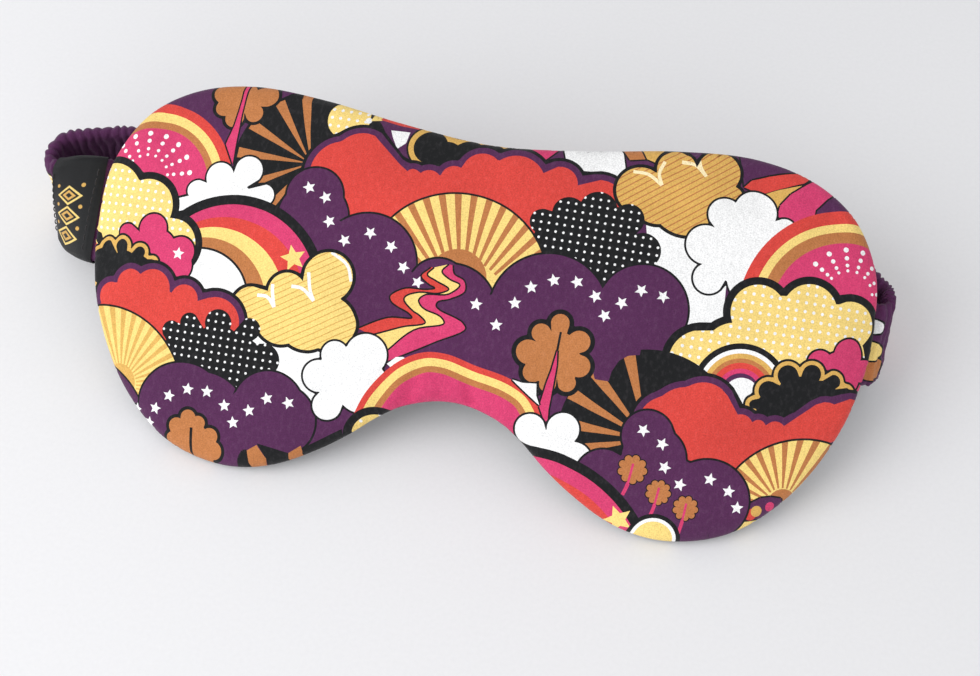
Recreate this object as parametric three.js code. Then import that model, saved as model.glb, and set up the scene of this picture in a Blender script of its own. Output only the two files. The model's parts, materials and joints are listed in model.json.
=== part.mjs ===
// A padded sleep mask: two joined lobes with a nose notch, and a gathered elastic strap sewn into both
// side seams. Millimetres, +Z up. The mask lies face up on a table, its lobes' lower edge on the
// table and its top edge raised, held up by the strap, which stands on its edge behind it.
// The origin is at the bottom centre of the whole object's bounding box.
import * as THREE from "three";

// The mask's outline, in its own plane: X across the face, Y up the face from the middle of the lobes.
// Each list runs from the middle to the right side seam, and the left half mirrors it.
const TOP_EDGE = [[0, 38.4], [24, 40.6], [48, 44.3], [68, 45.4], [84, 41.9], [96, 34], [103, 22], [105, 10]];
const BOTTOM_EDGE = [[0, -30.2], [14, -33.8], [30, -46], [46, -54.6], [60, -56.6], [76, -52.2], [90, -40],
  [100, -22.5], [105, -4]];
const HALF_LENGTH = 105;

// How the mask lies: tilted about X, and bent about its own vertical centre line.
const TILT = THREE.MathUtils.degToRad(26);
const BEND_RADIUS = 787;
const MASK_PLACE = new THREE.Vector3(0, 0, 28.21);

const SIDE_SEAM_Y = 8.4;
const MASK_PLACE_IN_FRAME = new THREE.Vector3(7.025, 2.728, 0);

// Thicknesses of the layers, measured across the mask from the seam's plane.
const PANEL_THICKNESS = 1;
const PANEL_EDGE = 1.4;
const FRONT_SWELL = 5.2;
const BACK_SWELL = 1.6;
const LAYER_GAP = 0.3;
const LINER_THICKNESS = 0.4;
const PAD_INSET = 3.6;
const SEAM_INSET = 1.2;
const SEAM_THREAD = 0.4;
const TACK_INSET = 2.9;
const TACK_WIDTH = 0.4;
const TACK_LENGTH = 16;

// The strap: a flat elastic inside a gathered fabric casing.
const STRAP_WIDTH = 28;
const CASING_THICKNESS = 3.6;
const CASING_WALL = 0.8;
const ELASTIC_WIDTH = 25;
const ELASTIC_THICKNESS = 1.2;
const SEAM_HEIGHT_ON_FACE = 6;
const SEAM_END_SLOPE = THREE.MathUtils.degToRad(34);
const TWIST_LENGTH_LEFT = 24;
const TWIST_LENGTH_RIGHT = 19;
const PLAIN_LENGTH = 1;
const TWIST_DIVISIONS = 8;

// The middle line of the relaxed strap, from the left side seam round the back to the right one.
// X is from the mask's middle, Y is behind the side seams, Z is above the table.
const STRAP_ROUTE = [[-106.5, 0, 24.8], [-113, 3, 21], [-119.5, 8.4, 16], [-123.8, 14, 14],
  [-123.2, 19.5, 14], [-116, 23.2, 14], [-100, 26.8, 14], [-72, 31, 14], [-38, 34, 14], [0, 34.8, 14],
  [38, 34, 14], [70, 30, 14], [91, 23.5, 14], [103.5, 16, 14.8], [109.2, 9.5, 18], [109.8, 3.6, 21.6],
  [106.5, 0, 24.8]];

// The woven label, a sleeve round the strap's smooth left end.
const LABEL_START = 2;
const LABEL_END = 19;
const LABEL_WALL = 0.5;
const STITCH_MARGIN = 1.2;
const STITCH_ROW = 0.5;
const STITCH_LENGTH = 23;
const STITCH_LIFT = 0.35;

const mirrored = (points) => [
  ...points.slice(1).reverse().map(([x, y]) => [-x, y]),
  ...points,
];

const edgeCurve = (points) => new THREE.CatmullRomCurve3(
  mirrored(points).map(([x, y]) => new THREE.Vector3(x, y, 0)),
);

const topCurve = edgeCurve(TOP_EDGE);
const bottomCurve = edgeCurve(BOTTOM_EDGE);

// A point of the outline's inside: along and up run from 0 to 1, inset pulls the edge inwards.
function facePoint(along, up, inset) {
  const top = topCurve.getPoint(along);
  const bottom = bottomCurve.getPoint(along);
  const shrink = 1 - inset / HALF_LENGTH;
  top.y -= inset;
  bottom.y += inset;
  const point = bottom.lerp(top, up);
  point.x *= shrink;
  return point;
}

// How far the padding has swelled at a point: 0 on the outline and 1 over most of the face.
function swell(along, up) {
  const side = 1 - Math.abs(2 * along - 1) ** 8;
  const edge = 1 - Math.abs(2 * up - 1) ** 5;
  return Math.sqrt(Math.max(0, side * edge));
}

// Bends a point of the flat mask round the mask's vertical centre line. Z is across the layers.
function bend(point) {
  const turn = point.x / BEND_RADIUS;
  const radius = BEND_RADIUS + point.z;
  return new THREE.Vector3(radius * Math.sin(turn), point.y, radius * Math.cos(turn) - BEND_RADIUS);
}

function remap(geometry, place) {
  const position = geometry.getAttribute("position");
  const point = new THREE.Vector3();
  for (let i = 0; i < position.count; i += 1) {
    point.fromBufferAttribute(position, i);
    position.setXYZ(i, ...place(point).toArray());
  }
  geometry.computeVertexNormals();
  return geometry;
}

// One layer of the mask between two surfaces given by their height above the seam's plane.
// Columns are closer together near the side seams, and rows near the top and bottom edges.
function maskLayer(inset, lower, upper) {
  const columns = 31;
  const rows = 12;
  const box = new THREE.BoxGeometry(1, 1, 1, columns, rows, 1);
  return remap(box, (corner) => {
    const along = (1 + Math.sin(Math.PI * corner.x)) / 2;
    const up = (1 + Math.sin(Math.PI * corner.y)) / 2;
    const point = facePoint(along, up, inset);
    point.z = (corner.z > 0 ? upper : lower)(along, up);
    return bend(point);
  });
}

function backHeight(along, up) {
  return -PANEL_EDGE - BACK_SWELL * Math.min(1, 1.25 * swell(along, up));
}

function frontHeight(along, up) {
  return PANEL_EDGE + FRONT_SWELL * swell(along, up);
}

const padFloor = (along, up) => backHeight(along, up) + PANEL_THICKNESS + LINER_THICKNESS + 2 * LAYER_GAP;
const padTop = (along, up) => frontHeight(along, up) - PANEL_THICKNESS - LAYER_GAP;
const linerFloor = (along, up) => backHeight(along, up) + PANEL_THICKNESS + LAYER_GAP;
const padLift = (along, up) => Math.max(padTop(along, up), padFloor(along, up) + LAYER_GAP);

function frontPanel() {
  return maskLayer(0, (a, u) => frontHeight(a, u) - PANEL_THICKNESS, frontHeight);
}

function backPanel() {
  return maskLayer(0, backHeight, (a, u) => backHeight(a, u) + PANEL_THICKNESS);
}

function foamPad() {
  return maskLayer(PAD_INSET, padFloor, padLift);
}

function blackoutLiner() {
  return maskLayer(PAD_INSET, linerFloor, (a, u) => linerFloor(a, u) + LINER_THICKNESS);
}

// The outline at a distance inside the mask's edge, as a closed list of points.
function outline(inset) {
  const steps = 48;
  const points = [];
  for (let i = 0; i <= steps; i += 1) points.push(facePoint(i / steps, 0, inset));
  for (let i = steps; i >= 0; i -= 1) points.push(facePoint(i / steps, 1, inset));
  return points.map((p) => new THREE.Vector2(p.x, p.y));
}

function seamThread() {
  const ring = new THREE.Shape(outline(SEAM_INSET));
  ring.holes.push(new THREE.Path(outline(SEAM_INSET + 2 * SEAM_THREAD)));
  const flat = new THREE.ExtrudeGeometry(ring, { depth: SEAM_THREAD, bevelEnabled: false });
  flat.translate(0, 0, -SEAM_THREAD / 2);
  return remap(flat, bend);
}

// A bar of dense stitches that holds a strap end inside the side seam.
function barTack(side) {
  const bar = new THREE.BoxGeometry(TACK_WIDTH, TACK_LENGTH, SEAM_THREAD);
  bar.translate(side * (HALF_LENGTH - TACK_INSET), SEAM_HEIGHT_ON_FACE, 0);
  return remap(bar, bend);
}

const routeCurve = new THREE.CatmullRomCurve3(
  STRAP_ROUTE.map(([x, y, z]) => new THREE.Vector3(x, y, z)),
);
routeCurve.arcLengthDivisions = 2000;
const STRAP_LENGTH = routeCurve.getLength();

// The strap's width runs along the mask's side at each seam and stands upright behind the mask.
function widthDirection(distance) {
  const left = distance / TWIST_LENGTH_LEFT;
  const right = (STRAP_LENGTH - distance) / TWIST_LENGTH_RIGHT;
  const share = THREE.MathUtils.clamp(Math.min(left, right), 0, 1);
  const angle = THREE.MathUtils.lerp(SEAM_END_SLOPE, Math.PI / 2, share);
  return new THREE.Vector3(0, Math.cos(angle), Math.sin(angle));
}

// A point of the strap's middle sheet: distance runs along the strap, across over its width.
function sheetPoint(distance, across) {
  const middle = routeCurve.getPointAt(THREE.MathUtils.clamp(distance / STRAP_LENGTH, 0, 1));
  middle.z = Math.max(middle.z, STRAP_WIDTH / 2);
  return middle.addScaledVector(widthDirection(distance), across);
}

// The direction out of the loop, square to the middle sheet.
function outDirection(distance, across) {
  const nudge = 0.5;
  const before = sheetPoint(Math.max(distance - nudge, 0), across);
  const after = sheetPoint(Math.min(distance + nudge, STRAP_LENGTH), across);
  return widthDirection(distance).cross(after.sub(before)).normalize();
}

// Sweeps a flat section along part of the strap: the section's X is across the strap's thickness,
// outwards from the loop, and its Y is across its width.
function strapSweep(section, start, end) {
  const step = 3.5;
  const steps = Math.ceil((end - start) / step);
  const straight = new THREE.ExtrudeGeometry(section, { depth: 1, steps, bevelEnabled: false });
  return remap(straight, (corner) => {
    const distance = THREE.MathUtils.lerp(start, end, corner.z);
    return sheetPoint(distance, corner.y).addScaledVector(outDirection(distance, corner.y), corner.x);
  });
}

// A rectangle whose two long sides are divided, so that it can be twisted smoothly.
function rectangle(target, thickness, width, divisions) {
  const heights = Array.from({ length: divisions + 1 }, (_, i) => width * (i / divisions - 0.5));
  const corners = [
    ...heights.map((height) => new THREE.Vector2(thickness / 2, height)),
    ...heights.reverse().map((height) => new THREE.Vector2(-thickness / 2, height)),
  ];
  return target.setFromPoints(corners);
}

// A sleeve's section: a rectangle with a slot through it.
function sleeveSection(thickness, width, wall, divisions) {
  const section = rectangle(new THREE.Shape(), thickness, width, divisions);
  section.holes.push(rectangle(new THREE.Path(), thickness - 2 * wall, width - 2 * wall, divisions));
  return section;
}

function casing(start, end, divisions) {
  return strapSweep(sleeveSection(CASING_THICKNESS, STRAP_WIDTH, CASING_WALL, divisions), start, end);
}

function elastic(start, end, divisions) {
  const section = rectangle(new THREE.Shape(), ELASTIC_THICKNESS, ELASTIC_WIDTH, divisions);
  return strapSweep(section, start, end);
}

function label() {
  const clearance = 2 * (LAYER_GAP + LABEL_WALL);
  const section = sleeveSection(
    CASING_THICKNESS + clearance, STRAP_WIDTH + clearance, LABEL_WALL, TWIST_DIVISIONS,
  );
  return strapSweep(section, LABEL_START, LABEL_END);
}

// One row of stitches across the label's outer face.
function labelStitch(distance) {
  const face = CASING_THICKNESS / 2 + LAYER_GAP + LABEL_WALL + STITCH_LIFT;
  const section = rectangle(new THREE.Shape(), SEAM_THREAD, STITCH_LENGTH, TWIST_DIVISIONS);
  const raised = section.getPoints().map((point) => point.add(new THREE.Vector2(face, 0)));
  return strapSweep(new THREE.Shape(raised), distance, distance + STITCH_ROW);
}

const materials = {
  print: new THREE.MeshStandardMaterial({ color: 0x8a3a5c, roughness: 0.9, metalness: 0 }),
  casing: new THREE.MeshStandardMaterial({ color: 0x5c2e60, roughness: 0.9, metalness: 0 }),
  foam: new THREE.MeshStandardMaterial({ color: 0xe9e6df, roughness: 1, metalness: 0 }),
  lining: new THREE.MeshStandardMaterial({ color: 0x17161a, roughness: 0.6, metalness: 0 }),
  elastic: new THREE.MeshStandardMaterial({ color: 0xefeee9, roughness: 0.85, metalness: 0 }),
  label: new THREE.MeshStandardMaterial({ color: 0x121214, roughness: 0.7, metalness: 0 }),
  thread: new THREE.MeshStandardMaterial({ color: 0x202024, roughness: 0.8, metalness: 0 }),
};

function add(group, name, geometry, material) {
  const mesh = new THREE.Mesh(geometry, materials[material]);
  mesh.name = name;
  group.add(mesh);
}

const mask = new THREE.Group();
mask.rotation.x = TILT;
mask.position.copy(MASK_PLACE);
add(mask, "front_panel", frontPanel(), "print");
add(mask, "foam_pad", foamPad(), "foam");
add(mask, "blackout_liner", blackoutLiner(), "lining");
add(mask, "back_panel", backPanel(), "lining");
add(mask, "seam_thread", seamThread(), "thread");
add(mask, "left_bar_tack", barTack(-1), "thread");
add(mask, "right_bar_tack", barTack(1), "thread");

// The strap is in three lengths: each twisted end, and the upright stretch behind the mask.
const cut = LAYER_GAP / 2;
const backStart = TWIST_LENGTH_LEFT + PLAIN_LENGTH + cut;
const backEnd = STRAP_LENGTH - TWIST_LENGTH_RIGHT - PLAIN_LENGTH - cut;
const lengths = [
  ["left_end", 0, backStart - 2 * cut, TWIST_DIVISIONS],
  ["back", backStart, backEnd, 1],
  ["right_end", backEnd + 2 * cut, STRAP_LENGTH, TWIST_DIVISIONS],
];

const strap = new THREE.Group();
strap.position.y = SIDE_SEAM_Y;
lengths.forEach(([place, start, end, divisions]) => {
  add(strap, `casing_${place}`, casing(start, end, divisions), "casing");
  add(strap, `elastic_${place}`, elastic(start, end, divisions), "elastic");
});
add(strap, "label", label(), "label");
add(strap, "label_stitch_near", labelStitch(LABEL_START + STITCH_MARGIN), "thread");
add(strap, "label_stitch_far", labelStitch(LABEL_END - STITCH_MARGIN), "thread");

const sleepMask = new THREE.Group();
sleepMask.position.copy(MASK_PLACE_IN_FRAME);
sleepMask.add(mask, strap);

export default sleepMask;
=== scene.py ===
"""A padded sleep mask of printed velour, lying face up with its gathered strap behind it.

Lengths are millimetres in the row frame, unless a name says otherwise, and become metres when a
mesh is made. The mask's own flat coordinates are x along it and v up it, from the middle of the
face, with n across its layers.
"""
import json
import math

import bpy
import numpy as np
from mathutils import Matrix, Vector
from mathutils.geometry import delaunay_2d_cdt

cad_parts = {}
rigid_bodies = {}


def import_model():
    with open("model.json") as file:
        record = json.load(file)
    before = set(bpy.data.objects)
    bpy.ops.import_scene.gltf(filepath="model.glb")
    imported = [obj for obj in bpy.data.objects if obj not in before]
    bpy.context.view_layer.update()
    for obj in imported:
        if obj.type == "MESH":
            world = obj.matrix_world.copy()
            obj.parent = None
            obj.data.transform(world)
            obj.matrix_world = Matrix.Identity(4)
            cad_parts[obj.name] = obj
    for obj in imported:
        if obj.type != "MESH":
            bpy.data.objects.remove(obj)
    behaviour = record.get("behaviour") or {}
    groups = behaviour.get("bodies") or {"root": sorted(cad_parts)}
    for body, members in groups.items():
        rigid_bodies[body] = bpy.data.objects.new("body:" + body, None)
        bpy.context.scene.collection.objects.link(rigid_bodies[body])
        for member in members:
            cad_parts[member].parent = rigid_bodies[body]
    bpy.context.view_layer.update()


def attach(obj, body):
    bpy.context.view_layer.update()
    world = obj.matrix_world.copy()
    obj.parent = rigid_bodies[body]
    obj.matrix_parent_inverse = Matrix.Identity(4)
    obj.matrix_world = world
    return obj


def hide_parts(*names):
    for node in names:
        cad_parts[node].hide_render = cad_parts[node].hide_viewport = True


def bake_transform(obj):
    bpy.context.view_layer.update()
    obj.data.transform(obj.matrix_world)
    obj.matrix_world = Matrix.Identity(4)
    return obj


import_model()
MM = 0.001

# ---------------------------------------------------------------- the part's driving dimensions

TOP_EDGE = [(0, 38.4), (24, 40.6), (48, 44.3), (68, 45.4), (84, 41.9), (96, 34), (103, 22), (105, 10)]
BOTTOM_EDGE = [(0, -30.2), (14, -33.8), (30, -46), (46, -54.6), (60, -56.6), (76, -52.2), (90, -40),
               (100, -22.5), (105, -4)]
HALF_LENGTH = 105
TILT = math.radians(26)
BEND_RADIUS = 787
MASK_ORIGIN = np.array([7.025, 2.728, 28.21])
STRAP_ORIGIN = np.array([7.025, 11.128, 0])

FRONT_RISE = 6.6
BACK_DROP = 3.0
PAD_INSET = 3.6
TACK_INSET = 2.2
TACK_LENGTH = 16

STRAP_WIDTH = 28
CASING_THICKNESS = 3.6
ELASTIC_WIDTH = 25
ELASTIC_THICKNESS = 1.2
ELASTIC_INSET = 3
SEAM_HEIGHT_ON_FACE = 6
SEAM_END_SLOPE = math.radians(34)
TWIST_LENGTH_LEFT = 24
TWIST_LENGTH_RIGHT = 19
PLAIN_LENGTH = 1
STRAP_ROUTE = [(-106.5, 0, 24.8), (-113, 3, 21), (-119.5, 8.4, 16), (-123.8, 14, 14),
               (-123.2, 19.5, 14), (-116, 23.2, 14), (-100, 26.8, 14), (-72, 31, 14), (-38, 34, 14),
               (0, 34.8, 14), (38, 34, 14), (70, 30, 14), (91, 23.5, 14), (103.5, 16, 14.8),
               (109.2, 9.5, 18), (109.8, 3.6, 21.6), (106.5, 0, 24.8)]
LABEL_START = -1
LABEL_END = 19

# Where the strap leaves its route: tucked and pinched at the seams, sagging at the right one,
# and bulging at the left one.
TUCK_LENGTH = 4.5
TUCK_LEFT = np.array([0.99, -0.06, 0.12])
TUCK_RIGHT = TUCK_LEFT * (-1, 1, 1)
PINCH_LENGTH = 8
PINCHED_SHARE = 0.2
RIGHT_SAG_LENGTH = 26
RIGHT_NARROWING = 0.24
RIGHT_SAG = 3.6
RIGHT_HOLLOW = 2.0
RIGHT_HOLLOW_PLACE = 11
RIGHT_HOLLOW_LENGTH = 8
LEFT_BULGE = 2.8
LEFT_BULGE_PLACE = 17
LEFT_BULGE_LENGTH = 12


# ---------------------------------------------------------------- curves

def catmull_rom(points, at):
    """Points of the centripetal Catmull-Rom curve through points, at shares 0 to 1 of its spans."""
    p = np.array(points, float)
    p = np.vstack([2 * p[0] - p[1], p, 2 * p[-1] - p[-2]])
    place = np.clip(np.asarray(at, float), 0, 1) * (len(p) - 3)
    span = np.minimum(place.astype(int), len(p) - 4)
    w = (place - span)[:, None]
    p0, p1, p2, p3 = (p[span + k] for k in range(4))
    d0, d1, d2 = (np.sqrt(np.linalg.norm(b - a, axis=1))[:, None]
                  for a, b in ((p0, p1), (p1, p2), (p2, p3)))
    t1 = ((p1 - p0) / d0 - (p2 - p0) / (d0 + d1) + (p2 - p1) / d1) * d1
    t2 = ((p2 - p1) / d1 - (p3 - p1) / (d1 + d2) + (p3 - p2) / d2) * d1
    return (p1 + t1 * w + (-3 * p1 + 3 * p2 - 2 * t1 - t2) * w ** 2
            + (2 * p1 - 2 * p2 + t1 + t2) * w ** 3)


def mirrored(half):
    return [(-x, y) for x, y in half[:0:-1]] + list(half)


TABLE_STEPS = np.linspace(0, 1, 1201)
TOP_TABLE = catmull_rom(mirrored(TOP_EDGE), TABLE_STEPS)
BOTTOM_TABLE = catmull_rom(mirrored(BOTTOM_EDGE), TABLE_STEPS)


def edge_at(table, along):
    return np.stack([np.interp(along, TABLE_STEPS, table[:, k]) for k in (0, 1)], axis=-1)


def face_point(along, up):
    """Flat (x, v) at shares of the way along the mask and up it."""
    low, high = edge_at(BOTTOM_TABLE, along), edge_at(TOP_TABLE, along)
    return low + (high - low) * np.asarray(up)[..., None]


def face_shares(flat):
    """The shares along and up of flat points, the inverse of face_point()."""
    x, v = flat[:, 0], flat[:, 1]
    along = np.interp(x, TOP_TABLE[:, 0], TABLE_STEPS)
    for _ in range(12):
        low, high = edge_at(BOTTOM_TABLE, along), edge_at(TOP_TABLE, along)
        up = np.clip((v - low[:, 1]) / (high[:, 1] - low[:, 1]), 0, 1)
        error = x - (low[:, 0] + (high[:, 0] - low[:, 0]) * up)
        along = np.clip(along + 0.8 * error / (2 * HALF_LENGTH), 0, 1)
    return along, up


ROUTE_TABLE = catmull_rom(STRAP_ROUTE, np.linspace(0, 1, 4001))
ROUTE_LENGTHS = np.concatenate([[0], np.cumsum(np.linalg.norm(np.diff(ROUTE_TABLE, axis=0), axis=1))])
STRAP_LENGTH = ROUTE_LENGTHS[-1]


def smooth_step(t):
    t = np.clip(t, 0, 1)
    return t * t * (3 - 2 * t)


def pinch(distance):
    """How much of its thickness the strap keeps where it is sewn flat into the mask's edge."""
    inside = np.minimum(distance, STRAP_LENGTH - distance) + TUCK_LENGTH
    return PINCHED_SHARE + (1 - PINCHED_SHARE) * smooth_step(inside / PINCH_LENGTH)


def strap_middle(distance):
    middle = np.stack([np.interp(distance, ROUTE_LENGTHS, ROUTE_TABLE[:, k]) for k in range(3)], axis=-1)
    middle[..., 2] = np.maximum(middle[..., 2], STRAP_WIDTH / 2)
    return middle


def strap_width_direction(distance):
    share = np.clip(np.minimum(distance / TWIST_LENGTH_LEFT,
                               (STRAP_LENGTH - distance) / TWIST_LENGTH_RIGHT), 0, 1)
    beyond = np.clip(np.maximum(-distance, distance - STRAP_LENGTH) / TUCK_LENGTH, 0, 1)
    angle = SEAM_END_SLOPE + (math.pi / 2 - SEAM_END_SLOPE) * share - (SEAM_END_SLOPE - TILT) * beyond
    return np.stack([np.zeros_like(angle), np.cos(angle), np.sin(angle)], axis=-1)


def strap_point(distance, across, out):
    """Frame points on the strap: distance along it, across its width, and out of its loop.
    Near the right seam it is drawn in and sags, and beside the left seam its loop bulges."""
    distance, across, out = (np.asarray(a, float) for a in np.broadcast_arrays(distance, across, out))
    drawn_in = smooth_step(1 - (STRAP_LENGTH - distance) / RIGHT_SAG_LENGTH)
    across = across * (1 - RIGHT_NARROWING * drawn_in) - RIGHT_SAG * drawn_in
    bulge = np.exp(-((distance - LEFT_BULGE_PLACE) / LEFT_BULGE_LENGTH) ** 2)
    hollow = np.exp(-((STRAP_LENGTH - distance - RIGHT_HOLLOW_PLACE) / RIGHT_HOLLOW_LENGTH) ** 2)
    out = out + LEFT_BULGE * bulge * (1 - across / STRAP_WIDTH) - RIGHT_HOLLOW * hollow

    def sheet(d):
        inside = np.clip(d, 0, STRAP_LENGTH)
        tucked = np.where((d < 0)[..., None], TUCK_LEFT, TUCK_RIGHT) * np.abs(d - inside)[..., None]
        return strap_middle(inside) + strap_width_direction(d) * across[..., None] + tucked

    nudge = 1.2
    tangent = sheet(distance + nudge) - sheet(distance - nudge)
    normal = np.cross(strap_width_direction(distance), tangent)
    normal /= np.linalg.norm(normal, axis=-1, keepdims=True)
    return STRAP_ORIGIN + sheet(distance) + normal * out[..., None]


def mask_point(x, v, n):
    """Frame points of the bent and tilted mask."""
    turn = np.asarray(x) / BEND_RADIUS
    radius = BEND_RADIUS + np.asarray(n)
    across, height = radius * np.sin(turn), radius * np.cos(turn) - BEND_RADIUS
    return MASK_ORIGIN + np.stack([across,
                                   v * math.cos(TILT) - height * math.sin(TILT),
                                   v * math.sin(TILT) + height * math.cos(TILT)], axis=-1)


def waves(x, y, scale, seed):
    """Smooth noise from -1 to 1, a sum of sines in seeded directions, about scale long."""
    random = np.random.default_rng(seed)
    total = np.zeros(np.broadcast(x, y).shape)
    for _ in range(7):
        angle, phase, stretch = random.uniform(0, 2 * math.pi, 2).tolist() + [random.uniform(0.7, 1.5)]
        k = 2 * math.pi / (scale * stretch)
        total = total + np.sin(k * (x * math.cos(angle) + y * math.sin(angle)) + phase)
    return total / 4


# ---------------------------------------------------------------- mesh making

def make_object(name, points, faces, material, smooth=True):
    """A mesh object from points in millimetres, pressed flat where it would pass the floor."""
    points = np.array(points, float)
    points[:, 2] = np.maximum(points[:, 2], 0)
    mesh = bpy.data.meshes.new(name)
    mesh.from_pydata((points * MM).tolist(), [], faces)
    mesh.polygons.foreach_set("use_smooth", [smooth] * len(mesh.polygons))
    mesh.materials.append(material)
    mesh.validate()
    mesh.update()
    obj = bpy.data.objects.new(name, mesh)
    bpy.context.scene.collection.objects.link(obj)
    return obj


def store_flat(obj, flat):
    """Stores each point's place on the flat cloth, in metres, for the materials."""
    vectors = np.zeros((len(flat), 3))
    vectors[:, :2] = flat[:, :2] * MM
    attribute = obj.data.attributes.new("flat", "FLOAT_VECTOR", "POINT")
    attribute.data.foreach_set("vector", vectors.astype(np.float32).ravel())


def grid_faces(columns, rows, first=0, wrap=False, flip=False):
    """Quads over a grid of points stored column by column, with rows points in each column."""
    faces = []
    for i in range(columns - 1):
        for j in range(rows if wrap else rows - 1):
            a, b = first + i * rows + j, first + i * rows + (j + 1) % rows
            quad = (a, a + rows, b + rows, b)
            faces.append(quad[::-1] if flip else quad)
    return faces


def tube(name, path, radius, sides, material, closed=False):
    """A round thread along a path of points, its ends closed unless the path is."""
    path = np.asarray(path, float)
    ahead = np.roll(path, -1, axis=0) - np.roll(path, 1, axis=0)
    if not closed:
        ahead[0], ahead[-1] = path[1] - path[0], path[-1] - path[-2]
    ahead /= np.linalg.norm(ahead, axis=1, keepdims=True)
    guide = np.array([0.19, 0.31, 0.93])
    side = np.cross(ahead, guide)
    side /= np.linalg.norm(side, axis=1, keepdims=True)
    other = np.cross(ahead, side)
    radius = np.broadcast_to(radius, len(path))
    angles = 2 * math.pi * np.arange(sides) / sides
    outward = (np.cos(angles)[None, :, None] * side[:, None]
               + np.sin(angles)[None, :, None] * other[:, None])
    rings = path[:, None] + radius[:, None, None] * outward
    count = len(path)
    points = rings.reshape(-1, 3)
    faces = grid_faces(count, sides, wrap=True, flip=True)
    if closed:
        last = (count - 1) * sides
        faces += [(last + j, last + (j + 1) % sides, (j + 1) % sides, j) for j in range(sides)]
    else:
        faces.append(tuple(range(sides)))
        faces.append(tuple(reversed(range((count - 1) * sides, count * sides))))
    return make_object(name, points, faces, material)


def join(name, objects):
    """One object from several, in the first one's material order."""
    for o in bpy.context.view_layer.objects:
        o.select_set(False)
    for o in objects:
        o.select_set(True)
    bpy.context.view_layer.objects.active = objects[0]
    bpy.ops.object.join()
    joined = bpy.context.view_layer.objects.active
    joined.name = name
    return joined


# ---------------------------------------------------------------- materials

def linear(rgb):
    """Linear colour from sRGB levels of 0 to 255."""
    levels = [c / 255 for c in rgb]
    return tuple(c / 12.92 if c <= 0.04045 else ((c + 0.055) / 1.055) ** 2.4 for c in levels) + (1.0,)


# The inks were set by comparing the photo's colours with the render's.
PURPLE, RED, PINK, YELLOW, TAN, OCHRE, WHITE, BLACK, CREAM = range(9)
INKS = [linear(c) for c in ((85, 40, 82), (217, 70, 62), (214, 63, 112), (248, 217, 130), (189, 121, 71),
                            (221, 175, 93), (247, 247, 247), (22, 23, 25), (253, 236, 190))]


class Nodes:
    """A node tree being built for one material."""

    def __init__(self, name):
        self.material = bpy.data.materials.new(name)
        self.material.use_nodes = True
        self.tree = self.material.node_tree
        self.shader = self.tree.nodes["Principled BSDF"]

    def add(self, kind, inputs=(), **settings):
        node = self.tree.nodes.new("ShaderNode" + kind)
        for key, value in settings.items():
            setattr(node, key, value)
        for key, value in dict(inputs).items():
            self.feed(node.inputs[key], value)
        return node

    def feed(self, socket, value):
        if isinstance(value, bpy.types.NodeSocket):
            self.tree.links.new(value, socket)
        else:
            socket.default_value = value

    def flat(self):
        """The fabric's own flat coordinates in metres, stored on the mesh."""
        return self.add("Attribute", attribute_name="flat").outputs["Vector"]

    def scaled(self, vector, scale, turn=0.0):
        node = self.add("Mapping", {"Vector": vector, "Scale": scale, "Rotation": (0, 0, turn)})
        return node.outputs["Vector"]

    def noise(self, vector, scale, detail=2.0, roughness=0.5):
        node = self.add("TexNoise", {"Vector": vector, "Scale": scale, "Detail": detail,
                                     "Roughness": roughness})
        return node.outputs["Fac"]

    def bands(self, vector, scale, direction, distortion=0.0):
        node = self.add("TexWave", {"Vector": vector, "Scale": scale, "Distortion": distortion,
                                    "Detail": 1.0},
                        wave_type="BANDS", bands_direction=direction)
        return node.outputs["Fac"]

    def range(self, value, low, high, start=0.0, end=1.0):
        node = self.add("MapRange", {"Value": value, "From Min": start, "From Max": end,
                                     "To Min": low, "To Max": high})
        return node.outputs["Result"]

    def math(self, operation, a, b):
        node = self.add("Math", {0: a, 1: b}, operation=operation)
        return node.outputs["Value"]

    def shade(self, colour, factor):
        """The colour, lighter or darker by a factor that varies over the surface."""
        node = self.add("VectorMath", {0: colour}, operation="SCALE")
        self.feed(node.inputs["Scale"], factor)
        return node.outputs["Vector"]

    def mix(self, factor, a, b):
        node = self.add("Mix", data_type="RGBA")
        self.feed(node.inputs["Factor"], factor)
        self.feed(node.inputs["A"], a)
        self.feed(node.inputs["B"], b)
        return node.outputs["Result"]

    def bump(self, height, strength, distance, under=None):
        inputs = {"Height": height, "Strength": strength, "Distance": distance}
        if under is not None:
            inputs["Normal"] = under
        return self.add("Bump", inputs).outputs["Normal"]

    def finish(self, colour, roughness, normal, **constants):
        self.feed(self.shader.inputs["Base Color"], colour)
        self.feed(self.shader.inputs["Roughness"], roughness)
        self.feed(self.shader.inputs["Normal"], normal)
        for name, value in constants.items():
            self.shader.inputs[name.replace("_", " ")].default_value = value
        return self.material


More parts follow.
